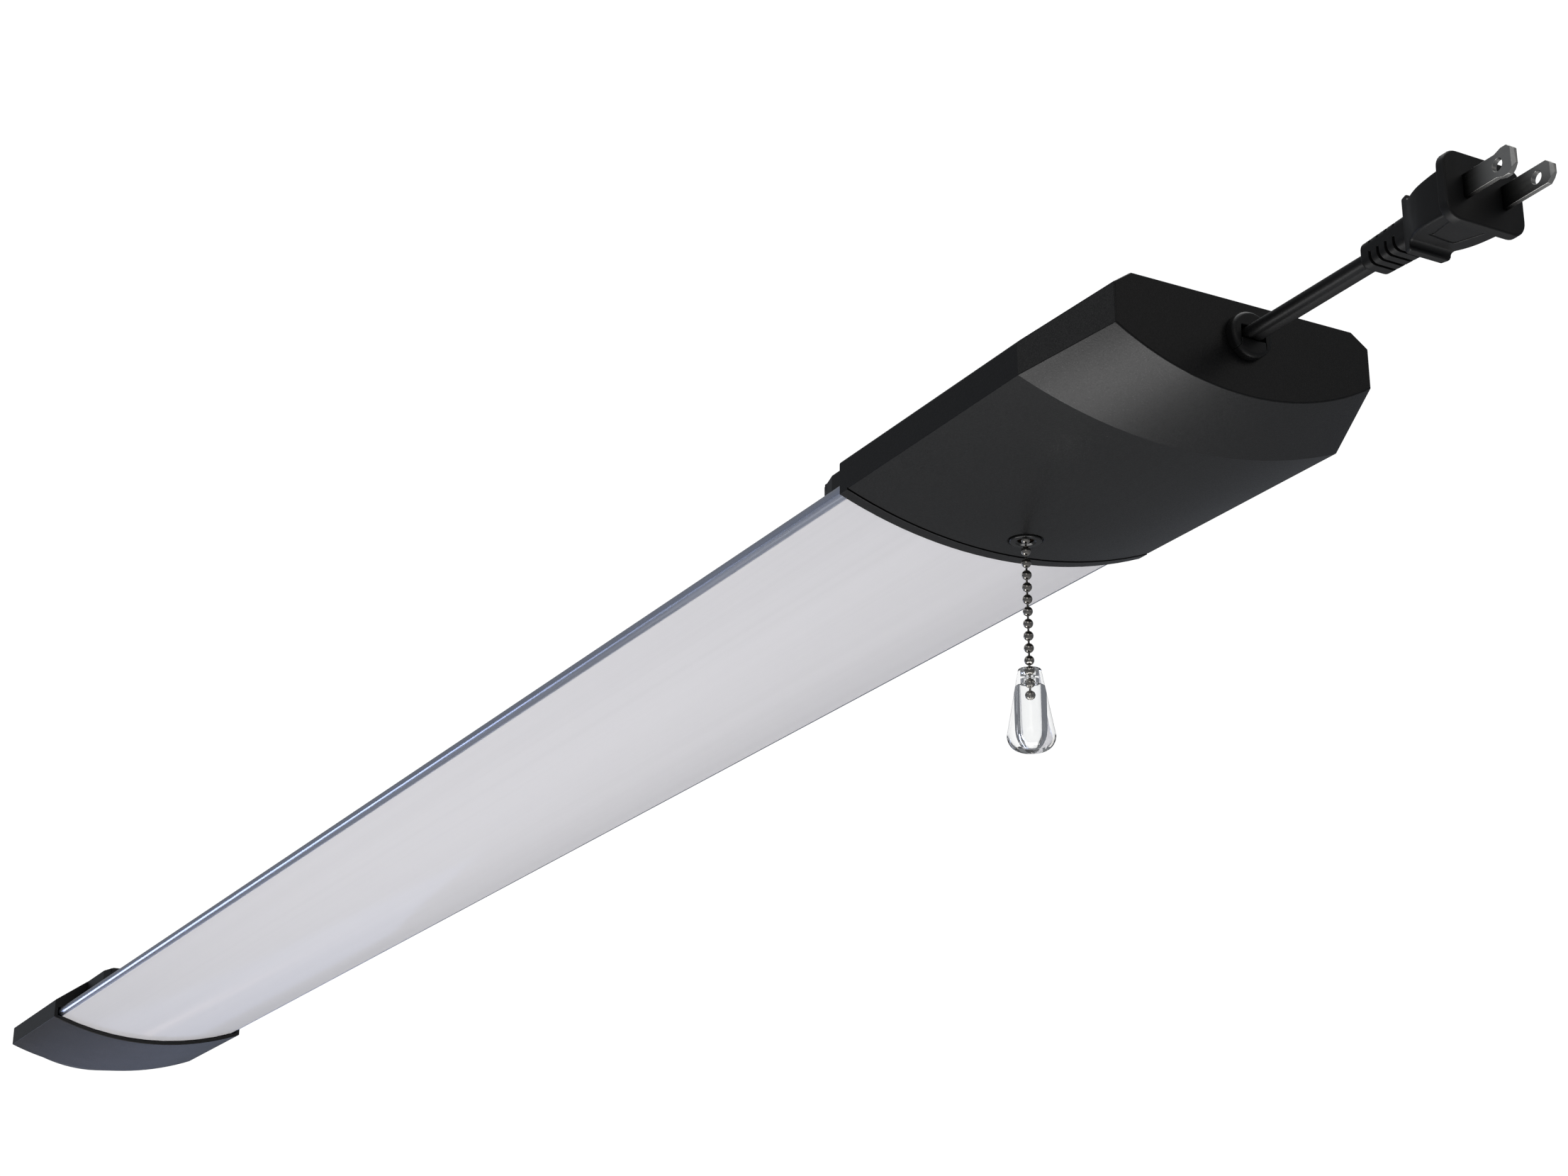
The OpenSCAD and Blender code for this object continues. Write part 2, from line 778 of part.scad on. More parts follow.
// Countersunk screw with a cross recess, head flush with the lid
module lid_screw(x, y) {
  translate([x, y, 0]) difference() {
    union() {
      translate([0, 0, -head_h]) cylinder(h = head_h - seat, r1 = screw_r, r2 = head_r);
      translate([0, 0, -lid_screw_l]) cylinder(h = lid_screw_l - head_h + seat, r = screw_r);
    }
    for (a = [0, 90]) rotate(a) translate([-head_r * 0.6, -screw_r / 4, -head_h * 0.6])
      cube([head_r * 1.2, screw_r / 2, head_h]);
  }
}

module lid_screws(overlap) {
  color("#3a3a3c") both_sides() {
    lid_screw(front_boss_x(overlap), front_boss_y);
    lid_screw(rear_boss_x, rear_boss_y);
  }
}

module near_lid_screws() {
  lid_screws(near_overlap);
}

module far_lid_screws() {
  far_end() lid_screws(far_overlap);
}

// Pan-head screw that ties a tongue to the channel
module channel_screw() {
  translate([hang_x, post_y, channel_z + seat + post_floor]) difference() {
    union() {
      cylinder(h = head_h, r = head_r);
      translate([0, 0, -channel_screw_l]) cylinder(h = channel_screw_l + seat, r = screw_r);
    }
    for (a = [0, 90]) rotate(a) translate([-head_r * 0.6, -screw_r / 4, head_h * 0.4])
      cube([head_r * 1.2, screw_r / 2, head_h]);
  }
}

module channel_screws() {
  color("#b8b8bc") both_sides() {
    channel_screw();
    far_end() channel_screw();
  }
}

// Region of the lower insert of the strain relief, seen along the cord
module wedge_area(grow) {
  hw = relief_slot_w / 2;
  translate([0, cord_z]) polygon([
    [-hw - grow, -relief_slot_h / 2 + grow], [hw + grow, -relief_slot_h / 2 + grow],
    [hw + grow, -relief_slot_h / 2 - wedge_flare / 2],
    [hw + wedge_flare + grow, -relief_slot_h / 2 - wedge_flare * 1.5], [hw + wedge_flare + grow, -relief_d],
    [-hw - wedge_flare - grow, -relief_d], [-hw - wedge_flare - grow, -relief_slot_h / 2 - wedge_flare * 1.5],
    [-hw - grow, -relief_slot_h / 2 - wedge_flare / 2]]);
}

// Round head with a rounded rim outside and a plain body in the wall
module relief_solid() {
  head = relief_d / 2;
  translate([x_end, 0, cord_z]) rotate([0, 90, 0]) {
    rotate_extrude() {
      square([head, relief_h - relief_round]);
      square([head - relief_round, relief_h]);
      translate([head - relief_round, relief_h - relief_round]) circle(relief_round);
    }
    translate([0, 0, -relief_body_l]) cylinder(h = relief_body_l + seat, r = relief_body_d / 2);
  }
}

module strain_relief() {
  color("#1e1e1f") difference() {
    relief_solid();
    along_x(x_end - relief_body_l - cut, relief_x + cut) {
      translate([-relief_slot_w / 2, cord_z - relief_slot_h / 2]) square([relief_slot_w, relief_slot_h]);
      wedge_area(wedge_gap);
    }
  }
}

module relief_wedge() {
  color("#232324") intersection() {
    relief_solid();
    along_x(x_end - relief_body_l, relief_x) wedge_area(0);
  }
}

// Outline of the twin-lobed cord
lobe_angle_shares = [-0.9, -0.5, 0, 0.5, 0.9];
cord_waist_share = 0.62;
cord_section = concat(
  [[0, -core_r * cord_waist_share]],
  [for (s = lobe_angle_shares) [core_y + core_r * cos(90 * s), core_r * sin(90 * s)]],
  [[0, core_r * cord_waist_share]],
  [for (s = lobe_angle_shares) [-core_y - core_r * cos(90 * s), -core_r * sin(90 * s)]]);

module cord() {
  rings = [for (i = [0 : cord_ring_steps : len(cord_route) - 1]) cord_route[i]];
  color("#1b1b1c") swept(rings, cord_section, [0, 1, 0]);
}

// Jacketed end of the cord inside the strain relief and the cap
module cord_tail() {
  route = [[relief_x, 0, cord_z], [relief_x - tail_l / 2, 0, cord_z], [relief_x - tail_l, 0, cord_z]];
  color("#1b1b1c") swept(route, cord_section, [0, -1, 0]);
}

// Ends of the single leads
tail_end = [relief_x - tail_l, 0, cord_z];
leaf_x = drum_x + leaf_w / 2;
leaf_y = drum_w / 2 + leaf_gap + leaf_t / 2;
lead_lift = 0.8;
leaf_z = case_z1 + cover_t + lead_r + lead_lift;
lead_stub = 3;

// Places that the leads pass, as shares of the cap's length, width and height
live_shares = [[0.81, -0.15, -0.24], [0.78, -0.21, -0.2], [0.7, -0.25, -0.15], [0.53, -0.25, -0.15],
               [0.37, -0.21, -0.14], [0.27, -0.1, -0.12]];
switched_shares = [[0.27, 0.12, -0.12], [0.37, 0.27, -0.15], [0.53, 0.28, -0.15], [0.72, 0.28, -0.18],
                   [0.82, 0.25, -0.4]];
neutral_shares = [[0.84, 0.06, -0.42]];

// Depths of the lamp leads beside the switch case, as shares of its height
lamp_depth_shares = [0.45, 0.28, 0.3, 0.36];
lead_space = 1.2;
function passing(shares) =
  [for (s = shares) [x_rim + s[0] * cap_len, s[1] * cap_w, -s[2] * bottom_z]];

module lead(points, colour) {
  path = smooth_path(points, 3);
  start = across([0, 1, 0], unit(path[1] - path[0]));
  color(colour) swept(path, ring_section(lead_r, 8), start);
}

// Route between two ends, each left along X by a short stub
function joined(a, a_dir, middle, b, b_dir) =
  concat(stub(a, a_dir), middle, [for (i = [2 : -1 : 0]) stub(b, b_dir)[i]]);
function lead_route(a, a_dir, shares, b, b_dir) = joined(a, a_dir, passing(shares), b, b_dir);
function stub(p, dir) = [for (i = [0 : 2]) p + [dir * i * lead_stub / 2, 0, 0]];
// Way of the lamp leads past the switch case, the first lead next to it and then below the other
function past_case(i, y_end) =
  let (step = 2 * lead_r + lead_space / 2, y = case_w / 2 + lead_space + lead_r + i * step,
       x = case_x0 - 2 * lead_r - lead_space / 4, low = (1 - i) * step,
       z = [for (s = lamp_depth_shares) case_z0 + s * case_h])
  [[case_x1, y + i * step, z[0]], [case_x0 + 2 * lead_r, y, z[1] - low / 2],
   [x, y - lead_r, z[2] - low], [x, (y + y_end) / 2, z[3] - low]];

module live_lead() {
  lead(lead_route(tail_end + [0, -core_y, 0], -1, live_shares, [leaf_x, -leaf_y, leaf_z], 1), "#202022");
}

module switched_lead() {
  lead(lead_route([leaf_x, leaf_y, leaf_z], 1, switched_shares, mouth(input_place, 1, 1), 1), "#202022");
}

module neutral_lead() {
  lead(lead_route(tail_end + [0, core_y, 0], -1, neutral_shares, mouth(input_place, 0, 1), 1), "#e6e6e2");
}

module led_lead(i, colour) {
  b = [board_near_x1 - lead_r, (2 * i - 1) * led_board_w / 6, led_z - lead_r - seat];
  lead(joined(mouth(output_place, i, 0), -1, past_case(i, b[1]), b, 1), colour);
}

module led_lead_plus() {
  led_lead(1, "#b02222");
}

module led_lead_minus() {
  led_lead(0, "#202022");
}

// Rectangle with rounded corners, centred
module rounded(w, h, r) {
  x = w / 2 - r;
  y = h / 2 - r;
  square([w, 2 * y], center = true);
  square([2 * x, h], center = true);
  for (a = [1, -1]) for (b = [1, -1]) translate([a * x, b * y]) circle(r, $fn = 32);
}

// Section of the plug standing across X
module plug_slice(x, w, h, r, t) {
  translate([0, 0, cord_z]) along_x(x, x + t) rounded(w, h, r);
}

plug_round = 4.5;
slice_t = 0.2;
// Shares of the body's length, and its width and height there
body_shares = [0, 0.35, 0.7, 1];
body_width_shares = [0.584, 0.7, 0.794, 0.84];
body_height_shares = [0.58, 0.663, 0.746, 0.819];

module plug_solid() {
  body_l = flange_x - ridge_x;
  for (i = [0 : 2]) hull() for (j = [i, i + 1])
    plug_slice(ridge_x + body_shares[j] * body_l, body_width_shares[j] * plug_w,
               body_height_shares[j] * plug_h, sleeve_round, slice_t);
  // Front flange with softened edges
  hull() {
    plug_slice(flange_x, plug_w - 2 * slice_t, plug_h - 2 * slice_t, plug_round, slice_t);
    plug_slice(flange_x + plug_flange_t / 5, plug_w, plug_h, plug_round + slice_t, plug_flange_t * 0.55);
    plug_slice(face_x - slice_t, plug_w - 5 * slice_t, plug_h - 5 * slice_t, plug_round, slice_t);
  }
  // Sleeve round the cord
  hull() {
    plug_slice(plug_x, sleeve_w - sleeve_tip, sleeve_h - sleeve_tip, sleeve_round, slice_t);
    plug_slice(plug_x + sleeve_tip / 2, sleeve_w, sleeve_h, sleeve_round, slice_t);
    plug_slice(ridge_x, sleeve_w + sleeve_flare_w, sleeve_h + sleeve_flare_h, sleeve_round, slice_t);
  }
  // Finger ridges on the upper and the lower face
  for (s = [0, 1]) translate([ridge_x, 0, cord_z]) rotate([180 * s, 0, 0]) {
    translate([0, ridge_w / 2, ridge_top - ridge_r]) rotate([90, 0, 0]) cylinder(h = ridge_w, r = ridge_r);
    translate([-ridge_r, -ridge_w / 2, sleeve_h / 4])
      cube([2 * ridge_r, ridge_w, ridge_top - ridge_r - sleeve_h / 4]);
  }
}

module plug_body() {
  color("#1c1c1d") difference() {
    plug_solid();
    // Flex grooves above and below, with a spine left at each side
    for (i = [0 : groove_count - 1]) for (s = [1, -1])
      translate([groove_x0 + i * groove_pitch, 0, cord_z]) difference() {
        translate([0, -sleeve_w, s > 0 ? spine_h / 2 : -sleeve_h])
          cube([groove_w, 2 * sleeve_w, sleeve_h - spine_h / 2]);
        translate([-cut, 0, 0]) along_x(0, groove_w + 2 * cut)
          rounded(sleeve_w + sleeve_flare_w / 2 - 2 * groove_d,
                  sleeve_h + sleeve_flare_h / 2 - 2 * groove_d, sleeve_round - groove_d);
      }
    blade_slot(-blade_gap / 2, blade_root_w);
    blade_slot(blade_gap / 2, blade_root_w);
  }
}

module blade_slot(y, w) {
  translate([face_x - blade_root, y - blade_t / 2 - blade_fit, cord_z - w / 2 - blade_fit])
    cube([blade_root + cut, blade_t + 2 * blade_fit, w + 2 * blade_fit]);
}

// Flat blade that flares to its tip width, with cut corners and a tip thinned on both sides
module blade(y, tip_w) {
  tip = blade_l;
  drop = blade_tip_l * tip_drop_share;
  side = [[-blade_root, blade_root_w / 2], [blade_flare_x, blade_root_w / 2],
          [blade_flare_x + blade_flare_l, tip_w / 2],
          [tip - blade_tip_l, tip_w / 2], [tip, tip_w / 2 - drop]];
  plan = [[-blade_root, blade_t / 2], [tip - blade_tip_l / 2, blade_t / 2], [tip, blade_t / 4]];
  translate([face_x, y, cord_z]) difference() {
    intersection() {
      rotate([90, 0, 0]) linear_extrude(2 * blade_t, center = true) mirrored(side);
      linear_extrude(2 * tip_w, center = true) mirrored(plan);
    }
    translate([blade_hole_x, 0, 0]) rotate([90, 0, 0])
      cylinder(h = 2 * blade_t, r = blade_hole_r, center = true);
  }
}

// Closed outline from its half above the X axis, given from left to right
module mirrored(half) {
  n = len(half);
  polygon(concat([for (p = half) [p[0], -p[1]]], [for (i = [n - 1 : -1 : 0]) half[i]]));
}

module neutral_blade() {
  color("#8d8d8d") blade(-blade_gap / 2, neutral_w);
}

module live_blade() {
  color("#8d8d8d") blade(blade_gap / 2, live_w);
}

// Ring nut below the cap that holds the switch and guides the chain
module ring_nut() {
  face = bottom_z - ring_proud;
  top = bottom_z + ring_seat - seat;
  bore = ring_bore_d / 2;
  outer = ring_d / 2;
  color("#161617") translate([chain_x, 0, 0]) rotate_extrude() {
    difference() {
      union() {
        translate([bore, face + ring_edge_r]) square([outer - bore, top - face - ring_edge_r]);
        translate([bore + ring_edge_r, face]) square([outer - bore - 2 * ring_edge_r, 2 * ring_edge_r]);
        translate([outer - ring_edge_r, face + ring_edge_r]) circle(ring_edge_r);
        translate([bore, top - seat]) square([ring_sleeve_r - bore, floor_z - top]);
      }
      translate([0, face + ring_face_t]) square([neck_r + play, -face]);
      polygon([[0, face - cut], [outer - ring_land, face - cut], [outer - ring_land, face],
               [bore, face + ring_face_t * ring_taper_share], [0, face + ring_face_t * ring_taper_share]]);
    }
  }
}

module switch_case() {
  bore = ring_bore_d / 2;
  color("#3a2c22") difference() {
    union() {
      translate([case_x0, -case_w / 2, case_z0]) cube([case_l, case_w, case_h]);
      translate([chain_x, 0, bottom_z + 3 * seat]) cylinder(h = case_z0 - bottom_z, r = neck_r);
    }
    translate([case_x0 + case_wall, -case_w / 2 + case_wall, case_floor_z])
      cube([case_l - 2 * case_wall, case_w - 2 * case_wall, case_h]);
    translate([chain_x, 0, bottom_z - cut]) cylinder(h = case_floor_z - bottom_z + 2 * cut, r = bore);
    translate([drum_x, 0, drum_z]) rotate([90, 0, 0])
      cylinder(h = case_w + 2 * cut, r = pin_r + play / 2, center = true);
  }
}

module switch_cover() {
  color("#2e241d") difference() {
    translate([case_x0, -case_w / 2, case_z1]) cube([case_l, case_w, cover_t]);
    for (s = [1, -1]) translate([drum_x - leaf_w / 2 - 2 * seat,
        s * (drum_w / 2 + leaf_gap + leaf_t / 2) - leaf_t / 2 - 2 * seat, case_z1 - cut])
      cube([leaf_w + 4 * seat, leaf_t + 4 * seat, cover_t + 2 * cut]);
  }
}

// Sliding plunger with a pawl that turns the drum
module switch_plunger() {
  foot = case_floor_z + rod_foot;
  color("#e4dccb") difference() {
    union() {
      translate([chain_x, 0, foot]) cylinder(h = head_z - foot + seat, r = rod_r);
      translate([chain_x, 0, head_z]) cylinder(h = plunger_head_t, r = plunger_head_r);
      translate([chain_x, 0, head_z + plunger_head_t - seat]) cylinder(h = stem_h, r = rod_r);
      translate([chain_x, -pawl_w / 2, head_z])
        cube([plunger_head_r + pawl_reach, pawl_w, plunger_head_t]);
    }
    translate([chain_x, 0, foot - cut]) cylinder(h = socket_h + cut, r = wire_r + play);
  }
}

spring_rings = 8;
spring_seat_turns = 1;
spring_low = case_floor_z + spring_wire_d / 2 + play;
spring_high = head_z - spring_wire_d / 2 - play;
spring_gap = 0.46;
spring_close = spring_wire_d + spring_gap;
spring_open = (spring_high - spring_low - 2 * spring_seat_turns * spring_close)
              / (spring_turns - 2 * spring_seat_turns);
// Height of the spring's centre line after a number of turns
function spring_z(turn) =
  turn < spring_seat_turns ? spring_low + turn * spring_close
  : turn > spring_turns - spring_seat_turns ? spring_high - (spring_turns - turn) * spring_close
  : spring_low + spring_seat_turns * spring_close + (turn - spring_seat_turns) * spring_open;
function spring_point(turn) =
  [chain_x + spring_d / 2 * cos(360 * turn), spring_d / 2 * sin(360 * turn), spring_z(turn)];
spring_path = [for (i = [0 : spring_turns * spring_rings]) spring_point(i / spring_rings)];
spring_least_gap = min([for (i = [0 : (spring_turns - 1) * spring_rings])
  norm(spring_path[i + spring_rings] - spring_path[i])]) - spring_wire_d;

module return_spring() {
  echo("least gap between turns of the return spring", spring_least_gap);
  color("#9a9a9e") swept(spring_path, ring_section(spring_wire_d / 2, 6), [1, 0, 0]);
}

module contact_drum() {
  color("#c9a25a") translate([drum_x, 0, drum_z]) rotate([90, 0, 0]) difference() {
    cylinder(h = drum_w, r = drum_r, center = true);
    cylinder(h = drum_w + 2 * cut, r = pin_r + play, center = true);
    for (i = [0 : drum_teeth - 1]) rotate(360 * i / drum_teeth)
      translate([drum_r - tooth_d, 0, -drum_w / 2 - cut]) cube([2 * tooth_d, tooth_w, drum_w + 2 * cut]);
  }
}

module drum_pin() {
  color("#b0b0b4") translate([drum_x, 0, drum_z]) rotate([90, 0, 0])
    cylinder(h = case_w - 2 * seat, r = pin_r, center = true);
}

module switch_terminals() {
  color("#c7a052") both_sides()
    translate([drum_x - leaf_w / 2, drum_w / 2 + leaf_gap, case_z1 - leaf_low])
      cube([leaf_w, leaf_t, leaf_low + cover_t + leaf_up]);
}

// Bead inside the switch neck, with the wires above and below it
module chain_inner_bead() {
  z = bead_top_z + bead_pitch;
  color("#a8a49c") {
    translate([chain_x, 0, z]) sphere(bead_r);
    translate([chain_x, 0, z]) cylinder(h = case_floor_z + rod_foot + socket_h - play - z, r = wire_r);
    translate([chain_x, 0, bead_top_z + bead_r + pivot_gap])
      cylinder(h = bead_pitch - bead_r - pivot_gap, r = wire_r);
  }
}

module chain_top_bead() {
  color("#a8a49c") translate([chain_x, 0, bead_top_z]) sphere(bead_r);
}

module chain_beads() {
  color("#a8a49c") for (i = [1 : bead_count - 1])
    translate([chain_x, 0, bead_top_z - i * bead_pitch]) sphere(bead_r);
}

module chain_wires() {
  color("#8c8880") for (i = [0 : bead_count - 2]) {
    top = bead_top_z - i * bead_pitch - bead_r - (i == 0 ? pivot_gap : wire_gap);
    low = bead_top_z - (i + 1) * bead_pitch + bead_r + wire_gap;
    translate([chain_x, 0, low]) cylinder(h = top - low, r = wire_r, $fn = 24);
  }
}

// Clear bell-shaped pull with a neck bore and a round-bottomed hollow
module pull_bob() {
  r_top = bob_top_d / 2;
  r_max = bob_d / 2;
  r_foot = bob_foot_d / 2;
  r_in = bob_hollow_d / 2;
  z_round = bob_bottom_z + bob_round_h;
  outline = concat([[0, bob_bottom_z], [r_foot, bob_bottom_z]],
    [for (i = [1 : 9]) let (a = 10 * i)
      [r_foot + (r_max - r_foot) * sin(a), z_round - bob_round_h * cos(a)]],
    [[r_top, bob_top_z], [0, bob_top_z]]);
  z_hollow = bob_top_z - bob_neck_h;
  z_low = bob_bottom_z + bob_floor_t;
  color("#f4f4f4", 0.4) translate([chain_x, 0, 0]) rotate_extrude() difference() {
    polygon(outline);
    square_from(0, bead_bottom_z + 2 * bead_pitch - bead_r - bob_lip_fit, bob_neck_d / 2, bob_top_z + cut);
    square_from(0, z_hollow, bob_lip_r, bob_top_z);
    square_from(0, z_hollow - seat, bob_neck_d / 2, bead_bottom_z + bead_pitch + bead_r + bob_lip_fit);
    square_from(0, z_low + r_in, r_in, z_hollow);
    intersection() {
      translate([0, z_low + r_in]) circle(r_in);
      square_from(0, z_low - cut, r_in + cut, z_low + r_in + seat);
    }
  }
}

module square_from(x0, y0, x1, y1) {
  translate([x0, y0]) square([x1 - x0, y1 - y0]);
}

module driver_board() {
  color("#2f6b3a") difference() {
    translate([driver_x0, -driver_hw, driver_z - driver_t]) cube([driver_l, driver_w, driver_t]);
    driver_places() translate([0, 0, -driver_t - cut])
      cylinder(h = driver_t + 2 * cut, r = driver_screw_r + play);
  }
}

module driver_screws() {
  color("#b8b8bc") driver_places() {
    cylinder(h = driver_screw_head_h, r = driver_screw_head_r);
    translate([0, 0, -driver_screw_l]) cylinder(h = driver_screw_l + seat, r = driver_screw_r);
  }
}

// Block on the driver board, centred on a place
module on_board(place, size) {
  translate([place[0] - size[0] / 2, place[1] - size[1] / 2, driver_z]) cube(size);
}

// Place on the driver board from shares of its length and width
function board_at(s) = [driver_x0 + s[0] * driver_l, s[1] * driver_w];
transformer_shares = [0.42, 0.06];
bulk_shares = [[0.8, -0.22], [0.8, -0.397]];
film_shares = [0.645, 0.353];
choke_shares = [0.613, -0.25];
fuse_shares = [0.435, 0.324];
bridge_shares = [0.42, -0.3];
sink_shares = [0.21, -0.2];
chip_shares = [0.16, 0.06];
input_shares = [0.93, 0.287];
output_shares = [0.075, 0.287];
mouth_shares = [-0.25, 0.25];
mouth_height_share = 0.6;
input_place = board_at(input_shares);
output_place = board_at(output_shares);
mouth_depth = 1.4;

// Middle of one of a connector's two mouths, on its face at the lower or the higher X
function mouth(place, i, high) =
  [place[0] + (high - 0.5) * connector_size[0], place[1] + mouth_shares[i] * connector_size[1],
   driver_z + mouth_height_share * connector_size[2]];

module transformer_core() {
  p = board_at(transformer_shares);
  span = (core_l - core_leg) / 2 - core_side;
  color("#3b3b40") difference() {
    on_board(p, [core_l, core_w, core_h]);
    for (s = [1, -1])
      translate([p[0] + s * (core_leg + span) / 2 - span / 2, p[1] - core_w / 2 - cut, driver_z + core_bar])
        cube([span, core_w + 2 * cut, core_h - 2 * core_bar]);
  }
}

module transformer_winding() {
  p = board_at(transformer_shares);
  w = core_l - 2 * core_side - 2 * winding_fit;
  color("#d8b23a") translate([p[0], p[1], driver_z + core_bar + winding_fit])
    linear_extrude(core_h - 2 * core_bar - 2 * winding_fit) difference() {
      rounded(w, winding_w, core_side);
      square([core_leg + 2 * winding_fit, core_w + 2 * winding_fit], center = true);
    }
}

module bulk_capacitors() {
  r = bulk_d / 2;
  color("#25304a") for (s = bulk_shares) translate(concat(board_at(s), [driver_z])) rotate_extrude()
    difference() {
      square([r, bulk_h]);
      translate([r, bulk_bead_h]) circle(bulk_groove_d);
    }
}

module film_capacitor() {
  color("#c8a83c") on_board(board_at(film_shares), film_size);
}

module line_choke() {
  color("#7a4a2a") translate(concat(board_at(choke_shares), [driver_z])) {
    cylinder(h = choke_flange_t, r = choke_d / 2);
    cylinder(h = choke_h, r = choke_wind_d / 2);
    translate([0, 0, choke_h - choke_flange_t]) cylinder(h = choke_flange_t, r = choke_d / 2);
  }
}

module fuse() {
  color("#c9c9c6") translate(concat(board_at(fuse_shares), [driver_z + fuse_d / 2])) rotate([0, 90, 0])
    translate([0, 0, -fuse_l / 2]) {
      cylinder(h = fuse_cap_l, r = fuse_d / 2);
      cylinder(h = fuse_l, r = fuse_glass_d / 2);
      translate([0, 0, fuse_l - fuse_cap_l]) cylinder(h = fuse_cap_l, r = fuse_d / 2);
    }
}

module bridge_rectifier() {
  color("#2a2a2c") on_board(board_at(bridge_shares), bridge_size);
}

module heat_sink() {
  p = board_at(sink_shares);
  color("#b4b7bb") {
    on_board(p, sink_size);
    translate([p[0] - sink_size[0] / 2, p[1], driver_z + sink_size[2] - sink_size[1]])
      cube([sink_size[0], sink_foot, sink_size[1]]);
  }
}

module power_transistor() {
  p = board_at(sink_shares);
  y = p[1] - sink_size[1] / 2 - transistor_size[1];
  z = driver_z + sink_size[2] - transistor_size[2] - transistor_drop;
  color("#2a2a2c") {
    translate([p[0] - transistor_size[0] / 2, y, z]) cube(transistor_size);
    for (i = [-1 : 1])
      translate([p[0] + i * transistor_pitch - pin_w / 2, y + transistor_size[1] / 2, driver_z])
        cube([pin_w, pin_w, z - driver_z + seat]);
  }
}

module controller_chip() {
  color("#2a2a2c") on_board(board_at(chip_shares), chip_size);
}

// Wire connector with two mouths at its lower or its higher X face
module connector(place, high) {
  color("#f0efe8") difference() {
    on_board(place, connector_size);
    for (i = [0, 1]) translate(mouth(place, i, high))
      cube([2 * mouth_depth, connector_hole, connector_hole], center = true);
  }
}

module input_connector() {
  connector(input_place, 1);
}

module output_connector() {
  connector(output_place, 0);
}

housing();
lens();
led_board_near();
led_board_far();
led_chips_near();
led_chips_far();
board_jumper();
board_screws();
near_cap();
far_cap();
near_lid();
far_lid();
near_lid_screws();
far_lid_screws();
channel_screws();
strain_relief();
relief_wedge();
cord();
cord_tail();
live_lead();
neutral_lead();
switched_lead();
led_lead_plus();
led_lead_minus();
plug_body();
neutral_blade();
live_blade();
switch_case();
switch_cover();
switch_plunger();
return_spring();
contact_drum();
drum_pin();
switch_terminals();
ring_nut();
chain_inner_bead();
chain_top_bead();
chain_beads();
chain_wires();
pull_bob();
driver_board();
driver_screws();
transformer_core();
transformer_winding();
bulk_capacitors();
film_capacitor();
line_choke();
fuse();
bridge_rectifier();
heat_sink();
power_transistor();
controller_chip();
input_connector();
output_connector();
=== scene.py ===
"""Looks of a hanging shop light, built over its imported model."""
import json
from math import cos, degrees, radians, sin, tau

import bmesh
import bpy
from bpy.props import FloatProperty, FloatVectorProperty, IntProperty, PointerProperty
from mathutils import Matrix, Vector


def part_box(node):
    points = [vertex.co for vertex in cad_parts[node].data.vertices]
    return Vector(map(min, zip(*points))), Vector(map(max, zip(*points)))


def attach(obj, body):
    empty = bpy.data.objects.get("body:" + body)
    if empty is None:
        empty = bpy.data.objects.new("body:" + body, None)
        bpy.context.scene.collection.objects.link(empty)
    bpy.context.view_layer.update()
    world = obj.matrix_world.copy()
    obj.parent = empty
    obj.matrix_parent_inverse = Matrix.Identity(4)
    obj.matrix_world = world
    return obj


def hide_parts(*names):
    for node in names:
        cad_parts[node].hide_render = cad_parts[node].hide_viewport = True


bl_info = {
    "name": "Hanging shop light",
    "version": (1, 0, 0),
    "blender": (4, 5, 0),
    "location": "3D View > Sidebar > Shop light",
    "description": "Materials and finer pieces for the packed model of a hanging shop light",
    "category": "Object",
}

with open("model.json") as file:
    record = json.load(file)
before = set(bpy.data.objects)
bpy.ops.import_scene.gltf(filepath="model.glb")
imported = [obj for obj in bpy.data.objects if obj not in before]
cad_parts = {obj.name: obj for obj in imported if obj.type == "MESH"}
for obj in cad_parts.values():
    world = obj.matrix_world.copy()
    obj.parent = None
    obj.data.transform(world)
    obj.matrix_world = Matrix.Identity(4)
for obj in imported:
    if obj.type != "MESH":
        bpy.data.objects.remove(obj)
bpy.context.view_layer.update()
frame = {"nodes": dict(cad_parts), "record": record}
SLOT = {part["node"]: part["material_slot"] for part in frame["record"]["subparts"]}
BODY = {node: body for body, nodes in frame["record"]["behaviour"]["bodies"].items() for node in nodes}
MM = 0.001
SAME_PLACE = 0.002 * MM  # packed points as near as this are one point
WELD = 0.001 * MM  # and so are points of a new shape as near as this
SHARP = 40  # degrees between faces beyond which a new shape shows an edge

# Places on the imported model, in millimetres
CAP_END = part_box("near_cap")[1].x / MM
CHAIN_X = sum(corner.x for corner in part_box("chain_top_bead")) / 2 / MM
CORD_Z = -10.9
FIRST_BEAD_Z = -32.7
RING_FACE_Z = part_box("ring_nut")[0].z / MM
RELIEF_X = CAP_END + 3.5
PLUG_X = CAP_END + 53.5
PLUG_FACE_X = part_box("plug_body")[1].x / MM
BOB_TOP_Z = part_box("pull_bob")[1].z / MM
BOB_BOTTOM_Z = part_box("pull_bob")[0].z / MM

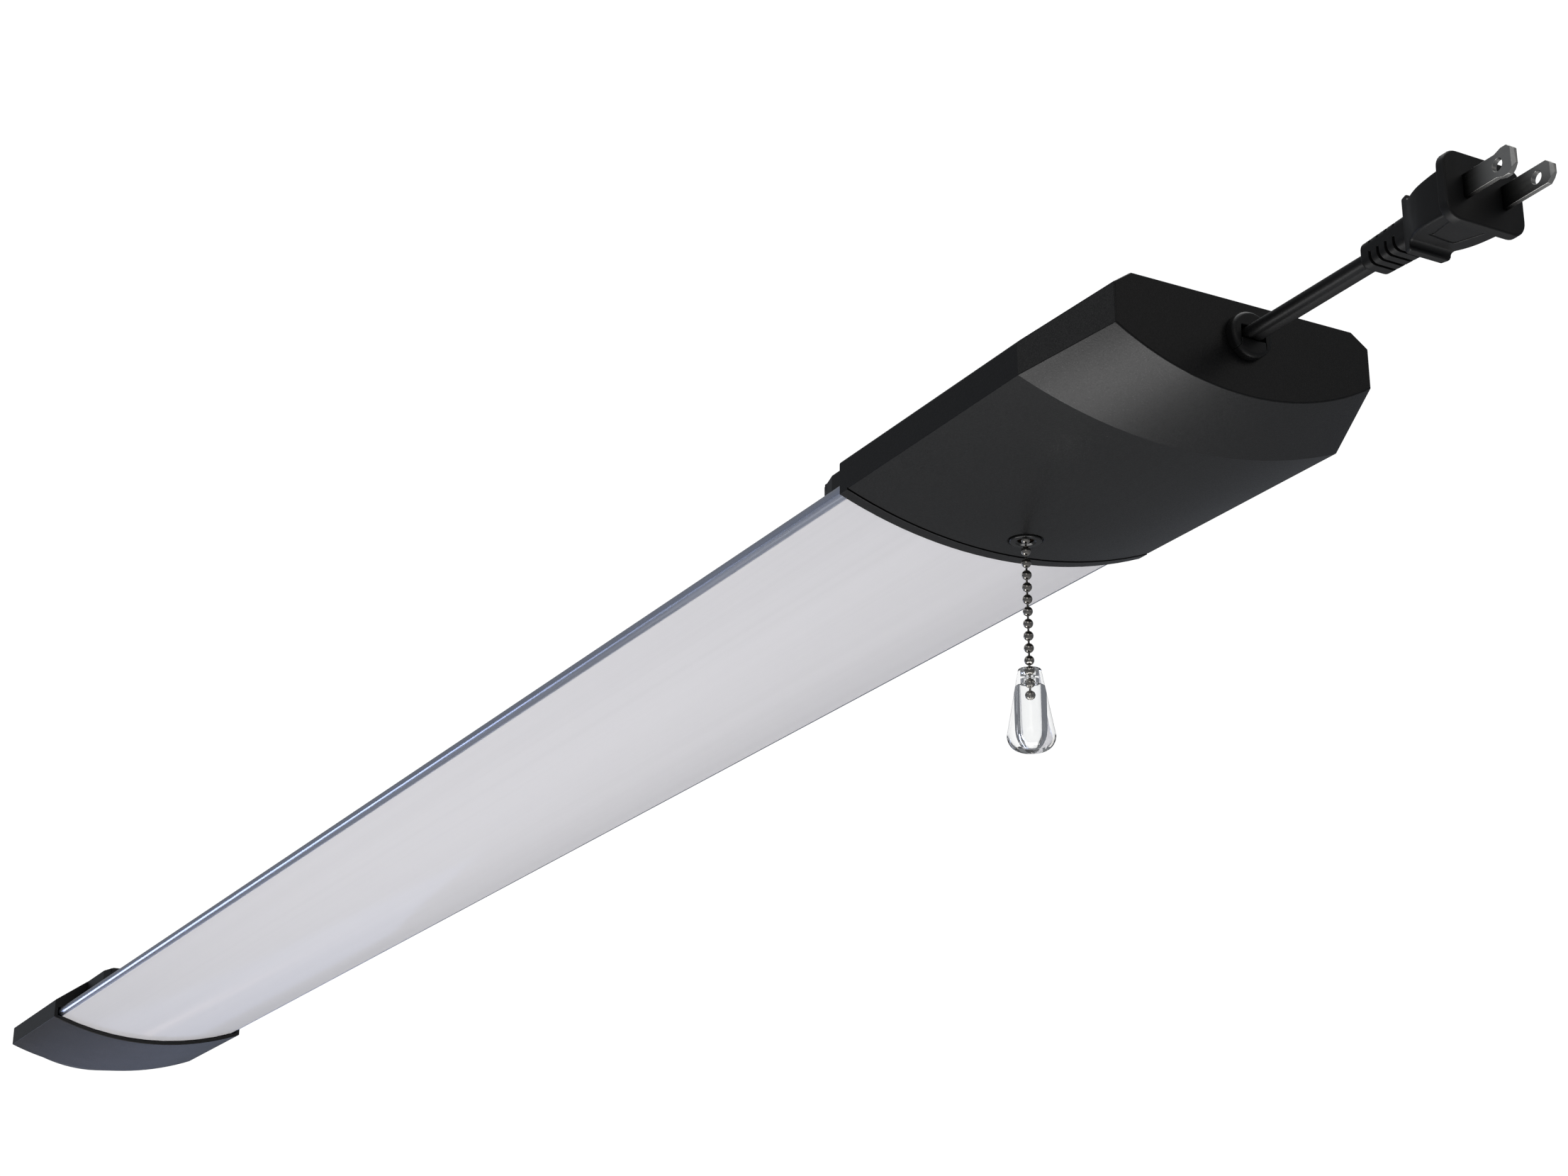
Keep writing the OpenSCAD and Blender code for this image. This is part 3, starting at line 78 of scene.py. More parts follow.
# The plug in millimetres, with places along it measured from the rear of its sleeve
GROOVE_S, GROOVE_PITCH, GROOVE_W, GROOVE_DEPTH, GROOVE_COUNT = 3.5, 3.13, 1.0, 0.85, 4
BODY_S = 18.2
BODY_WIDTHS = ((BODY_S, 5.95), (21, 6.95), (24.5, 8.5), (28, 9.4), (33, 9.85), (38.4, 9.9))
RIDGE_HEIGHTS = ((19.4, 7.9), (20.2, 7.9), (20.55, 7.78), (20.75, 7.45))
WAIST_S, WAIST_HEIGHT, WAIST_R = 22.3, 5.75, 1.5
PANEL_S = 24.5
PANEL_LINES = (((34.7, -6.3), (27.3, -4.7)),
               ((26.4, -5.0), (25.7, 1.5), (25.75, 2.5), (25.95, 3.2), (26.5, 3.6), (33.9, 5.6)))
LINE_REACH, LINE_WALL, LINE_DEPTH = 0.36, 0.18, 0.4
FLANGE_T = 3.1

# The camera, solved from the photograph: its place from the near cap's end, and its axes
CAMERA_PLACE = (0.5312, -0.4375, -0.3366)
CAMERA_AXES = ((0.4827, 0.8758, 0.0032), (0.3039, -0.1709, 0.9373), (-0.8214, 0.4515, 0.3486))
FOCAL_LENGTH, SENSOR_WIDTH = 62.02, 36

# Soft lights: name, place, what they face, width, height, power and colour
LIGHTS = (
    ("under_light", (0.05, -0.05, -1.3), (-0.05, 0, 0), 1.5, 0.7, 14, (1, 0.99, 0.985)),
    ("front_light", (2.3, -1.5, 0.4), (0.4, 0, 0), 1.4, 1.4, 5, (1, 0.96, 0.9)),
    ("end_light", (2.6, 0.9, 0.75), (0.6, 0, 0), 1.2, 1.2, 1.8, (1, 0.93, 0.84)),
    ("side_light", (-2.3, -0.75, -0.4), (-0.3, 0, 0), 1.1, 0.32, 3.6, (0.62, 0.72, 1)),
    ("window_light", (-2.4, 0.55, -0.4), (-0.5, 0, 0), 0.9, 0.45, 0.62, (0.5, 0.62, 1)),
    ("rim_light", (0.1, -2.3, 1.05), (0.55, 0, 0), 0.8, 0.8, 2, (1, 1, 1)),
    ("top_light", (0.1, 0.3, 2.4), (0, 0, 0), 2.2, 2.2, 30, (1, 1, 1)),
)

# The room that the light mirrors, from straight down to straight up, with a thin warm line on it
ROOM_STOPS = ((0.0, (0.125, 0.125, 0.13)), (0.394, (0.125, 0.125, 0.133)), (0.4, (0.75, 0.57, 0.47)),
              (0.406, (0.06, 0.062, 0.07)), (0.5, (0.085, 0.09, 0.1)), (1.0, (0.095, 0.098, 0.1)))
ROOM_STRENGTH, PAPER_STRENGTH = 2.0, 1.05
FLOOR_REACH, FLOOR_Z, FLOOR_STEPS = 9.0, -1.9, 12


# Materials

class Value:
    """A shader socket that can stand in sums, where each operator adds its Math node."""

    def __init__(self, finish, socket):
        self.finish = finish
        self.socket = socket

    def math(self, operation, *values):
        return self.finish.node("ShaderNodeMath", {"operation": operation}, dict(enumerate(values)))

    def __add__(self, other):
        return self.math("ADD", self, other)

    def __radd__(self, other):
        return self.math("ADD", other, self)

    def __sub__(self, other):
        return self.math("SUBTRACT", self, other)

    def __rsub__(self, other):
        return self.math("SUBTRACT", other, self)

    def __mul__(self, other):
        return self.math("MULTIPLY", self, other)

    def __rmul__(self, other):
        return self.math("MULTIPLY", other, self)

    def __truediv__(self, other):
        return self.math("DIVIDE", self, other)

    def __pow__(self, other):
        return self.math("POWER", self, other)

    def __lt__(self, other):
        return self.math("LESS_THAN", self, other)


def rgba(colour):
    return (*colour, 1) if len(colour) == 3 else tuple(colour)


class Shading:
    """A shader tree that is written from its output back to its patterns."""

    def __init__(self, tree):
        self.tree = tree

    def node(self, kind, settings=None, values=None, out=0):
        made = self.tree.nodes.new(kind)
        for key, value in (settings or {}).items():
            if key == "stops":
                self.fill(made.color_ramp, value)
            else:
                setattr(made, key, value)
        for key, value in (values or {}).items():
            self.join(made.inputs[key], value)
        return Value(self, made.outputs[out])

    def join(self, socket, value):
        if isinstance(value, Value):
            self.tree.links.new(value.socket, socket)
        else:
            socket.default_value = value

    def fill(self, ramp, stops):
        while len(ramp.elements) < len(stops):
            ramp.elements.new(1)
        for element, (position, colour) in zip(ramp.elements, stops):
            element.position = position
            element.color = rgba(colour)

    def ramp(self, value, *stops):
        return self.node("ShaderNodeValToRGB", {"stops": stops}, {0: value})


class Finish(Shading):
    """One material, from its Principled shader back to the patterns that feed it."""

    def __init__(self, name, **constants):
        self.material = bpy.data.materials.new(name)
        self.material.use_nodes = True
        super().__init__(self.material.node_tree)
        self.shader = next(n for n in self.tree.nodes if n.type == "BSDF_PRINCIPLED")
        for socket, value in constants.items():
            self.shader.inputs[socket.replace("_", " ").title().replace("Ior", "IOR")].default_value = value

    def end(self, **channels):
        """Joins what varies to the shader: colour, roughness, metallic, coat, normal."""
        sockets = {"colour": "Base Color", "roughness": "Roughness", "metallic": "Metallic",
                   "coat": "Coat Weight", "normal": "Normal"}
        for name, value in channels.items():
            self.join(self.shader.inputs[sockets[name]], value)
        return self.material

    def place(self, scale=(1, 1, 1)):
        """Object coordinates in metres, stretched."""
        spot = self.node("ShaderNodeTexCoord", out="Object")
        return self.node("ShaderNodeMapping", {"vector_type": "POINT"}, {"Vector": spot, "Scale": scale})

    def axis(self, name):
        spot = self.node("ShaderNodeTexCoord", out="Object")
        return self.node("ShaderNodeSeparateXYZ", values={0: spot}, out=name)

    def noise(self, size, detail=2.0, rough=0.5, stretch=(1, 1, 1)):
        """Noise whose lumps are about the given size, in millimetres."""
        return self.node("ShaderNodeTexNoise", values={
            "Vector": self.place(stretch), "Scale": 1 / (size * MM), "Detail": detail, "Roughness": rough})

    def fit(self, value, low, high, out_low=0.0, out_high=1.0):
        """Brings a value from one range to another, held at its ends."""
        return self.node("ShaderNodeMapRange", {"clamp": True},
                         {0: value, 1: low, 2: high, 3: out_low, 4: out_high})

    def mix(self, share, first, second):
        first, second = (rgba(c) if isinstance(c, tuple) else c for c in (first, second))
        return self.node("ShaderNodeMix", {"data_type": "RGBA"}, {0: share, 6: first, 7: second}, 2)

    def bump(self, height, depth, strength=1.0, under=None):
        """Normal from a height of 0 to 1 that stands for a depth in millimetres."""
        values = {"Height": height, "Distance": depth * MM, "Strength": strength}
        if under is not None:
            values["Normal"] = under
        return self.node("ShaderNodeBump", values=values)


def darker(colour, share):
    return tuple(c * share for c in colour)


def tone(look, colour):
    """A colour as it is, or a share of one of the look's colours, given as its name and the share."""
    return darker(getattr(look, colour[0]), colour[1]) if isinstance(colour[0], str) else colour


def plastic(colour, grain, depth, rough, spread=0.12, specular=0.5):
    """A maker of moulded plastic or rubber with an even grain and faint clouds of sheen."""
    def make(name, look):
        base = tone(look, colour)
        f = Finish(name, specular_ior_level=specular)
        sand = f.noise(grain, 3, 0.6)
        cloud = f.noise(30, 2)
        return f.end(colour=f.ramp(sand, (0.3, darker(base, 0.7)), (0.7, darker(base, 1.25))),
                     roughness=rough - spread / 2 + spread * cloud, normal=f.bump(sand, depth, 0.6))
    return make


def cap_plastic(name, look):
    """Black plastic with a fine sandy grain that glints at a low angle."""
    colour = tuple(look.cap_colour)
    f = Finish(name, specular_ior_level=0.3)
    sand = f.noise(look.grain_size / MM, 4, 0.65)
    specks = f.noise(0.35, 1, 0.5)
    cloud = f.noise(45, 3)
    shades = ((0.28, darker(colour, 0.55)), (0.5, colour), (0.78, darker(colour, 2.2)))
    return f.end(colour=f.ramp(sand, *shades),
                 roughness=f.fit(specks + 0.3 * cloud, 0.4, 0.95, 0.27, 0.42),
                 normal=f.bump(sand, 0.06, 0.55, f.bump(specks, 0.02, 0.35)))


def frosted_plastic(name, look):
    """Milky extruded plastic with faint drawing lines along it."""
    colour = tuple(look.lens_colour)
    f = Finish(name, specular_ior_level=0.4, coat_roughness=0.07, subsurface_weight=0.06,
               subsurface_radius=(0.004, 0.004, 0.0045))
    lines = f.noise(4, 3, 0.6, (0.004, 1, 1))
    dust = f.noise(0.6, 2)
    tint = f.ramp(lines, (0.35, darker(colour, 0.98)), (0.5, colour), (0.66, darker(colour, 1.015)))
    return f.end(colour=f.mix(0.04 * dust, tint, (0.55, 0.55, 0.57)),
                 roughness=0.4 + 0.1 * lines, coat=0.24 + 0.12 * lines,
                 normal=f.bump(lines, 0.008, 0.3))


def satin_sheet(name, look):
    """Pale sheet metal, drawn along its length."""
    colour = tuple(look.channel_colour)
    f = Finish(name, specular_ior_level=0.5)
    lines = f.noise(1.2, 4, 0.65, (0.008, 1, 1))
    cloud = f.noise(60, 2)
    return f.end(colour=f.ramp(lines, (0.25, darker(colour, 0.86)), (0.75, darker(colour, 1.08))),
                 metallic=1.0, roughness=f.fit(lines + 0.4 * cloud, 0.3, 1.1, 0.2, 0.32),
                 normal=f.bump(lines, 0.01, 0.4))


def metal(colour, rough, lines=(1, 1, 1), size=0.6, depth=0.006, tarnish=0.8):
    """A maker of bare or plated metal with drawn or rolled lines and a little tarnish."""
    def make(name, look):
        base = tone(look, colour)
        f = Finish(name, metallic=1.0)
        drawn = f.noise(size, 3, 0.6, lines)
        stain = f.noise(size * 12, 3)
        return f.end(colour=f.mix(f.fit(stain, 0.35, 0.7), base, darker(base, tarnish)),
                     roughness=rough * 0.8 + rough * 0.5 * drawn, normal=f.bump(drawn, depth, 0.4))
    return make


def blade_nickel(name, look):
    """Plated blade, brushed along its length, with a painted shade and reflection of the black plug face near
    its root.
    """
    f = Finish(name, metallic=1.0)
    drawn = f.noise(0.35, 4, 0.65, (0.05, 1, 1))
    # painted shade: the colour runs from near black at the plug's face to the plated colour 13 mm out,
    # standing for the black face's reflection and shade on the blade
    reach = f.fit(f.axis("X"), PLUG_FACE_X * MM, (PLUG_FACE_X + 13) * MM)
    return f.end(colour=f.mix(reach, (0.01, 0.01, 0.01), (0.42, 0.415, 0.4)),
                 roughness=f.fit(drawn, 0.2, 0.8, 0.26, 0.44), normal=f.bump(drawn, 0.01, 0.4))


def clear_plastic(name, look):
    """Clear moulded plastic, with the faint haze of its mould."""
    f = Finish(name, transmission_weight=1.0, ior=1.49, base_color=(0.985, 0.99, 0.99, 1))
    haze = f.noise(3, 3)
    return f.end(roughness=f.fit(haze, 0.4, 0.8, 0.0, 0.012), normal=f.bump(haze, 0.001, 0.1))


def plug_rubber(name, look):
    """Soft black rubber with a fine grain, a little glossier in places."""
    colour = tuple(look.rubber_colour)
    f = Finish(name, specular_ior_level=0.3)
    sand = f.noise(0.3, 3, 0.6)
    cloud = f.noise(6, 2)
    return f.end(colour=f.ramp(sand, (0.3, darker(colour, 0.75)), (0.7, darker(colour, 1.3))),
                 roughness=f.fit(cloud, 0.3, 0.7, 0.36, 0.5), normal=f.bump(sand, 0.02, 0.4))


def lamp_chip(name, look):
    """White chip housing round a yellow phosphor window."""
    f = Finish(name, specular_ior_level=0.5)
    window = f.node("ShaderNodeAttribute", {"attribute_name": "window"}, out="Fac")
    speck = f.noise(0.2, 2)
    yellow = f.ramp(speck, (0.3, (0.72, 0.55, 0.1)), (0.7, (0.84, 0.68, 0.2)))
    return f.end(colour=f.mix(window, (0.86, 0.86, 0.83), yellow), roughness=0.5 - 0.25 * window,
                 normal=f.bump(speck, 0.01, 0.3))


def circuit_board(name, look):
    """Green solder mask with paler tracks under it."""
    f = Finish(name, specular_ior_level=0.5)
    tracks = f.node("ShaderNodeTexBrick", {"offset": 0.37, "squash": 1.0},
                    {"Vector": f.place(), "Scale": 140.0, "Mortar Size": 0.06,
                     "Color1": rgba((0.02, 0.11, 0.035)), "Color2": rgba((0.03, 0.15, 0.05)),
                     "Mortar": rgba((0.05, 0.24, 0.09))})
    weave = f.noise(0.8, 2)
    return f.end(colour=tracks, roughness=0.22 + 0.2 * weave, normal=f.bump(weave, 0.01, 0.3))


def banded(colours, pitch, rough=0.4, metallic=0.0, depth=0.15):
    """A maker of wire or tape wound in turns, as bands across the Z axis."""
    def make(name, look):
        f = Finish(name, metallic=metallic)
        above = f.axis("Z") + 2.0  # lifted, since ping-pong is wanted above zero only
        turn = above.math("PINGPONG", above, pitch * MM / 2) / (pitch * MM / 2)
        scuff = f.noise(1.5, 2)
        return f.end(colour=f.mix(turn, *colours), roughness=rough + 0.15 * scuff,
                     normal=f.bump(turn ** 0.5, depth, 0.7))
    return make


FINISHES = {
    "cap": cap_plastic,
    "diffuser": frosted_plastic,
    "channel": satin_sheet,
    "blade_metal": blade_nickel,
    "clear_plastic": clear_plastic,
    "plug_rubber": plug_rubber,
    "lamp_chip": lamp_chip,
    "circuit_board": circuit_board,
    "lid": plastic(("cap_colour", 0.9), 0.6, 0.03, 0.42),
    "relief": plastic(("rubber_colour", 1), 0.4, 0.012, 0.44, specular=0.3),
    "cord_jacket": plastic(("rubber_colour", 1), 0.8, 0.02, 0.4, specular=0.3),
    "ring_plastic": plastic((0.006, 0.006, 0.006), 0.8, 0.006, 0.2, 0.1),
    "black_lead": plastic((0.012, 0.012, 0.014), 1.2, 0.02, 0.38),
    "white_lead": plastic((0.7, 0.7, 0.66), 1.2, 0.02, 0.38),
    "red_lead": plastic((0.42, 0.02, 0.02), 1.2, 0.02, 0.38),
    "white_plastic": plastic((0.76, 0.76, 0.72), 0.8, 0.015, 0.4),
    "switch_plastic": plastic((0.05, 0.028, 0.018), 0.7, 0.02, 0.4),
    "plunger_plastic": plastic((0.7, 0.66, 0.55), 0.8, 0.015, 0.36),
    "drum_plastic": plastic((0.6, 0.42, 0.16), 0.8, 0.015, 0.38),
    "capacitor_sleeve": plastic((0.014, 0.02, 0.06), 1.5, 0.02, 0.26),
    "film_yellow": plastic((0.55, 0.36, 0.03), 0.8, 0.02, 0.34),
    "fuse_glass": plastic((0.62, 0.61, 0.56), 1.0, 0.012, 0.28),
    "chip_black": plastic((0.012, 0.012, 0.013), 0.3, 0.03, 0.5),
    "ferrite": plastic((0.03, 0.03, 0.033), 0.5, 0.05, 0.52),
    "lamp_board": plastic((0.8, 0.8, 0.77), 1.5, 0.01, 0.3),
    "black_screw": metal((0.06, 0.06, 0.06), 0.42, size=0.5, tarnish=0.6),
    "screw_steel": metal((0.6, 0.6, 0.62), 0.28, size=0.5),
    "spring_steel": metal((0.55, 0.55, 0.57), 0.22, size=0.4),
    "contact_brass": metal((0.7, 0.48, 0.18), 0.26, (0.1, 1, 1)),
    "chain_nickel": metal(("chain_colour", 1), 0.16, size=1.6, depth=0.0005),
    "chain_wire": metal(("chain_colour", 0.55), 0.3, size=0.4),
    "sink_aluminium": metal((0.66, 0.67, 0.69), 0.34, (0.08, 1, 1)),
    "winding_tape": banded(((0.5, 0.3, 0.02), (0.72, 0.5, 0.08)), 3.2),
    "choke_wire": banded(((0.16, 0.05, 0.02), (0.55, 0.22, 0.08)), 0.9, 0.26, 0.8, 0.3),
}


def finish(slot):
    """The material of a slot of the record, made the first time it is asked for."""
    name = "shop_light." + slot
    return bpy.data.materials.get(name) or FINISHES[slot](name, bpy.context.scene.shop_light_look)


# Shapes

def shown(name, mesh):
    made = bpy.data.objects.new(name, mesh)
    bpy.context.scene.collection.objects.link(made)
    return made


def dressed(piece, *nodes, slot=None):
    """Gives a finished piece the material, the body and the place of the nodes that it stands for."""
    slot = slot or SLOT[nodes[0]]
    piece.data.materials.clear()
    piece.data.materials.append(finish(slot))
    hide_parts(*nodes)
    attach(piece, BODY[nodes[0]])
    return piece


def kept(*nodes):
    """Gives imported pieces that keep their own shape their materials."""
    for node in nodes:
        piece = frame["nodes"][node]
        if not piece.material_slots:
            piece.data.materials.append(None)
        for slot in piece.material_slots:
            slot.material = finish(SLOT[node])


def settled(piece):
    """Turns a piece's live modifiers into its mesh."""
    live = piece.evaluated_get(bpy.context.evaluated_depsgraph_get())
    mesh = bpy.data.meshes.new_from_object(live)
    piece.modifiers.clear()
    old, piece.data = piece.data, mesh
    mesh.name = old.name
    bpy.data.meshes.remove(old)
    return piece


def merged(node, flat=0.3):
    """A joined-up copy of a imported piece's mesh, without the lines across what is flat, in degrees."""
    work = bmesh.new()
    work.from_mesh(frame["nodes"][node].data)
    bmesh.ops.remove_doubles(work, verts=work.verts, dist=SAME_PLACE)
    if flat:
        bmesh.ops.dissolve_limit(work, angle_limit=radians(flat), verts=work.verts, edges=work.edges)
    mesh = bpy.data.meshes.new(node)
    work.to_mesh(mesh)
    work.free()
    return mesh


def softened(node, radius, steps=2, fine=None):
    """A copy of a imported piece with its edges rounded, in millimetres.

    Edges where fine(place) holds get only a share of the radius.
    """
    sharp = 32
    mesh = merged(node)
    mesh.shade_smooth()
    mesh.set_sharp_from_angle(angle=radians(sharp))
    piece = shown(node + "_dressed", mesh)
    rounding = piece.modifiers.new("rounding", "BEVEL")
    rounding.width = radius * MM
    rounding.segments = steps
    rounding.limit_method = "WEIGHT" if fine else "ANGLE"
    rounding.angle_limit = radians(sharp)
    if fine:
        weigh(mesh, sharp, fine)
    rounding.use_clamp_overlap = False
    rounding.miter_outer = "MITER_ARC"
    shading = piece.modifiers.new("shading", "WEIGHTED_NORMAL")
    shading.keep_sharp = True
    shading.weight = 80
    return dressed(settled(piece), node)


def weigh(mesh, sharp, fine, share=0.3):
    """Gives each edge of a mesh that is sharp enough its weight for the rounding."""
    work = bmesh.new()
    work.from_mesh(mesh)
    weight = work.edges.layers.float.new("bevel_weight_edge")
    for edge in work.edges:
        if len(edge.link_faces) == 2 and edge.calc_face_angle() > radians(sharp):
            edge[weight] = share if any(fine(v.co / MM) for v in edge.verts) else 1
    work.to_mesh(mesh)
    work.free()


def cast(node, voxel, steps):
    """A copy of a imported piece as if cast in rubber, with every edge and inside corner rounded."""
    piece = shown(node + "_dressed", merged(node, 0))
    mesh = piece.modifiers.new("mesh", "REMESH")
    mesh.mode = "VOXEL"
    mesh.voxel_size = voxel * MM
    mesh.use_smooth_shade = True
    ease = piece.modifiers.new("ease", "SMOOTH")
    ease.factor = 0.5
    ease.iterations = steps
    return dressed(settled(piece), node)


def drawn(node):
    """A copy of a packed lead or wire with its sides made round."""
    piece = shown(node + "_dressed", merged(node, 0))
    piece.data.shade_smooth()
    rounding = piece.modifiers.new("rounding", "SUBSURF")
    rounding.levels = rounding.render_levels = 1
    return dressed(settled(piece), node)


def islands(node):
    """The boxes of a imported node's loose pieces, in millimetres, from low X to high."""
    work = bmesh.new()
    work.from_mesh(frame["nodes"][node].data)
    bmesh.ops.remove_doubles(work, verts=work.verts, dist=SAME_PLACE)
    found, seen = [], set()
    for start in work.verts:
        if start in seen:
            continue
        seen.add(start)
        group = [start]
        for vert in group:
            for edge in vert.link_edges:
                other = edge.other_vert(vert)
                if other not in seen:
                    seen.add(other)
                    group.append(other)
        found.append(tuple(Vector([pick(v.co[k] for v in group) for k in range(3)]) / MM
                           for pick in (min, max)))
    work.free()
    return sorted(found, key=lambda box: (round(box[0].x, 2), box[0].y))


def closed(name, points, faces, sharp=SHARP):
    """A mesh from points in millimetres, with its faces turned outwards."""
    work = bmesh.new()
    spots = [work.verts.new(Vector(p) * MM) for p in points]
    for face in faces:
        work.faces.new([spots[i] for i in face])
    bmesh.ops.remove_doubles(work, verts=work.verts, dist=WELD)
    bmesh.ops.recalc_face_normals(work, faces=work.faces)
    mesh = bpy.data.meshes.new(name)
    work.to_mesh(mesh)
    work.free()
    mesh.shade_smooth()
    mesh.set_sharp_from_angle(angle=radians(sharp))
    return mesh


def turned(name, outline, centre=(0, 0, 0), steps=96, loop=True, sharp=SHARP):
    """An outline of (radius, height) points turned about the Z axis; loop joins its ends."""
    count = len(outline)
    points = [(centre[0] + r * cos(tau * s / steps), centre[1] + r * sin(tau * s / steps), centre[2] + z)
              for r, z in outline for s in range(steps)]
    rings = [(a * steps, (a + 1) % count * steps) for a in range(count if loop else count - 1)]
    faces = [(a + s, a + (s + 1) % steps, b + (s + 1) % steps, b + s)
             for a, b in rings for s in range(steps)]
    return closed(name, points, faces, sharp)


def lofted(name, loops, sharp=SHARP):
    """A skin over loops of equal length, closed at both ends."""
    count = len(loops[0])
    points = [p for loop in loops for p in loop]
    faces = [(low + j, low + (j + 1) % count, low + count + (j + 1) % count, low + count + j)
             for low in range(0, len(points) - count, count) for j in range(count)]
    faces += [tuple(range(count)), tuple(range(len(points) - count, len(points)))]
    return closed(name, points, faces, sharp)


def arc(x, y, radius, start, end, steps):
    """Points of an arc, with its angles in degrees."""
    return [(x + radius * cos(radians(start + (end - start) * i / steps)),
             y + radius * sin(radians(start + (end - start) * i / steps))) for i in range(steps + 1)]


# Geometry Nodes

class Tree:
    """A Geometry Nodes tree with named inputs that ends in real geometry and a material."""

    def __init__(self, name, **inputs):
        self.tree = bpy.data.node_groups.new(name, "GeometryNodeTree")
        sockets = self.tree.interface
        sockets.new_socket("Geometry", in_out="INPUT", socket_type="NodeSocketGeometry")
        for label, kind in inputs.items():
            sockets.new_socket(label.replace("_", " "), in_out="INPUT", socket_type="NodeSocket" + kind)
        sockets.new_socket("Material", in_out="INPUT", socket_type="NodeSocketMaterial")
        sockets.new_socket("Geometry", in_out="OUTPUT", socket_type="NodeSocketGeometry")
        self.given = self.tree.nodes.new("NodeGroupInput").outputs

    def node(self, kind, settings=None, values=None, out=0):
        made = self.tree.nodes.new(kind)
        for key, value in (settings or {}).items():
            setattr(made, key, value)
        for key, value in (values or {}).items():
            if isinstance(value, bpy.types.NodeSocket):
                self.tree.links.new(value, made.inputs[key])
            else:
                made.inputs[key].default_value = value
        return made.outputs[out]

    def end(self, geometry):
        real = self.node("GeometryNodeRealizeInstances", values={0: geometry})
        painted = self.node("GeometryNodeSetMaterial",
                            values={"Geometry": real, "Material": self.given["Material"]})
        self.tree.links.new(painted, self.tree.nodes.new("NodeGroupOutput").inputs[0])
        return self.tree


def row_tree():
    """Repeats the piece along a line."""
    t = Tree("row", Count="Int", First="Vector", Pitch="Vector")
    line = t.node("GeometryNodeMeshLine", {"mode": "OFFSET"}, {
        "Count": t.given["Count"], "Start Location": t.given["First"], "Offset": t.given["Pitch"]})
    return t.end(t.node("GeometryNodeInstanceOnPoints", values={
        "Points": line, "Instance": t.given["Geometry"]}))


def spots_tree():
    """Sets one unit on each point of the piece, turned by the point's own angle."""
    t = Tree("spots", Unit="Object", Size="Float")
    unit = t.node("GeometryNodeObjectInfo", {"transform_space": "ORIGINAL"},
                  {"Object": t.given["Unit"]}, "Geometry")
    turn = t.node("GeometryNodeInputNamedAttribute", {"data_type": "FLOAT"}, {"Name": "turn"})
    spin = t.node("ShaderNodeCombineXYZ", values={"Z": turn})
    return t.end(t.node("GeometryNodeInstanceOnPoints", values={
        "Points": t.given["Geometry"], "Instance": unit, "Rotation": spin, "Scale": t.given["Size"]}))


def grown(piece, tree, **inputs):
    """Runs a tree on a piece and keeps what it makes as a plain mesh."""
    live = piece.modifiers.new("nodes", "NODES")
    live.node_group = tree
    names = {item.name: item.identifier for item in tree.interface.items_tree if item.in_out == "INPUT"}
    for label, value in inputs.items():
        live[names[label]] = value
    mesh = settled(piece).data
    mesh.shade_smooth()
    mesh.set_sharp_from_angle(angle=radians(SHARP))
    return piece


def row(name, unit, count, first, pitch, *nodes):
    """A row of like units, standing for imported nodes."""
    piece = grown(shown(name, unit), row_tree(), Count=count, First=tuple(v * MM for v in first),
                  Pitch=tuple(v * MM for v in pitch), Material=finish(SLOT[nodes[0]]))
    return dressed(piece, *nodes)


def spots(name, unit, places, *nodes):
    """Like units at several places, each (x, y, z, turn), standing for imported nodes."""
    mesh = bpy.data.meshes.new(name)
    mesh.from_pydata([Vector(p[:3]) * MM for p in places], [], [])
    turn = mesh.attributes.new("turn", "FLOAT", "POINT")
    turn.data.foreach_set("value", [p[3] for p in places])
    model = shown(name + "_unit", unit)
    piece = grown(shown(name, mesh), spots_tree(), Unit=model, Size=1.0, Material=finish(SLOT[nodes[0]]))
    bpy.data.objects.remove(model)
    return dressed(piece, *nodes)


# Sizes and colours that a user would change

class ShopLightLook(bpy.types.PropertyGroup):
    """Sizes and colours of the shop light's finishes."""

    edge_round: FloatProperty(
        name="Edge rounding", description="Radius of the moulded edges of the end caps",
        default=0.4 * MM, min=0.05 * MM, max=1 * MM, precision=5, unit="LENGTH")
    grain_size: FloatProperty(
        name="Grain", description="Size of the grain moulded into the end caps",
        default=0.55 * MM, min=0.2 * MM, max=2 * MM, precision=5, unit="LENGTH")
    bead_count: IntProperty(
        name="Beads", description="Beads that hang below the pivot bead", default=13, min=4)
    bead_radius: FloatProperty(
        name="Bead radius", description="Radius of one chain bead", default=1.55 * MM,
        min=1 * MM, max=1.55 * MM, precision=5, unit="LENGTH")
    bead_pitch: FloatProperty(
        name="Bead pitch", description="Distance from bead to bead", default=3.94 * MM,
        min=3 * MM, max=4 * MM, precision=5, unit="LENGTH")
    cap_colour: FloatVectorProperty(
        name="Cap colour", description="Colour of the end caps and covers",
        subtype="COLOR", default=(0.0062, 0.0063, 0.0066), min=0, max=1)
    lens_colour: FloatVectorProperty(
        name="Diffuser colour", description="Colour of the frosted diffuser",
        subtype="COLOR", default=(0.8, 0.79, 0.815), min=0, max=1)
    channel_colour: FloatVectorProperty(
        name="Channel colour", description="Colour of the sheet metal channel",
        subtype="COLOR", default=(0.7, 0.74, 0.87), min=0, max=1)
    rubber_colour: FloatVectorProperty(
        name="Rubber colour", description="Colour of the cord and plug",
        subtype="COLOR", default=(0.0075, 0.0075, 0.0078), min=0, max=1)
    chain_colour: FloatVectorProperty(
        name="Chain colour", description="Colour of the plated ball chain",
        subtype="COLOR", default=(0.42, 0.4, 0.37), min=0, max=1)


# Operators

class PieceOperator:
    """What the operators of the pieces have in common."""

    bl_options = {"REGISTER", "UNDO"}

    def execute(self, context):
        self.build(context.scene.shop_light_look)
        return {"FINISHED"}


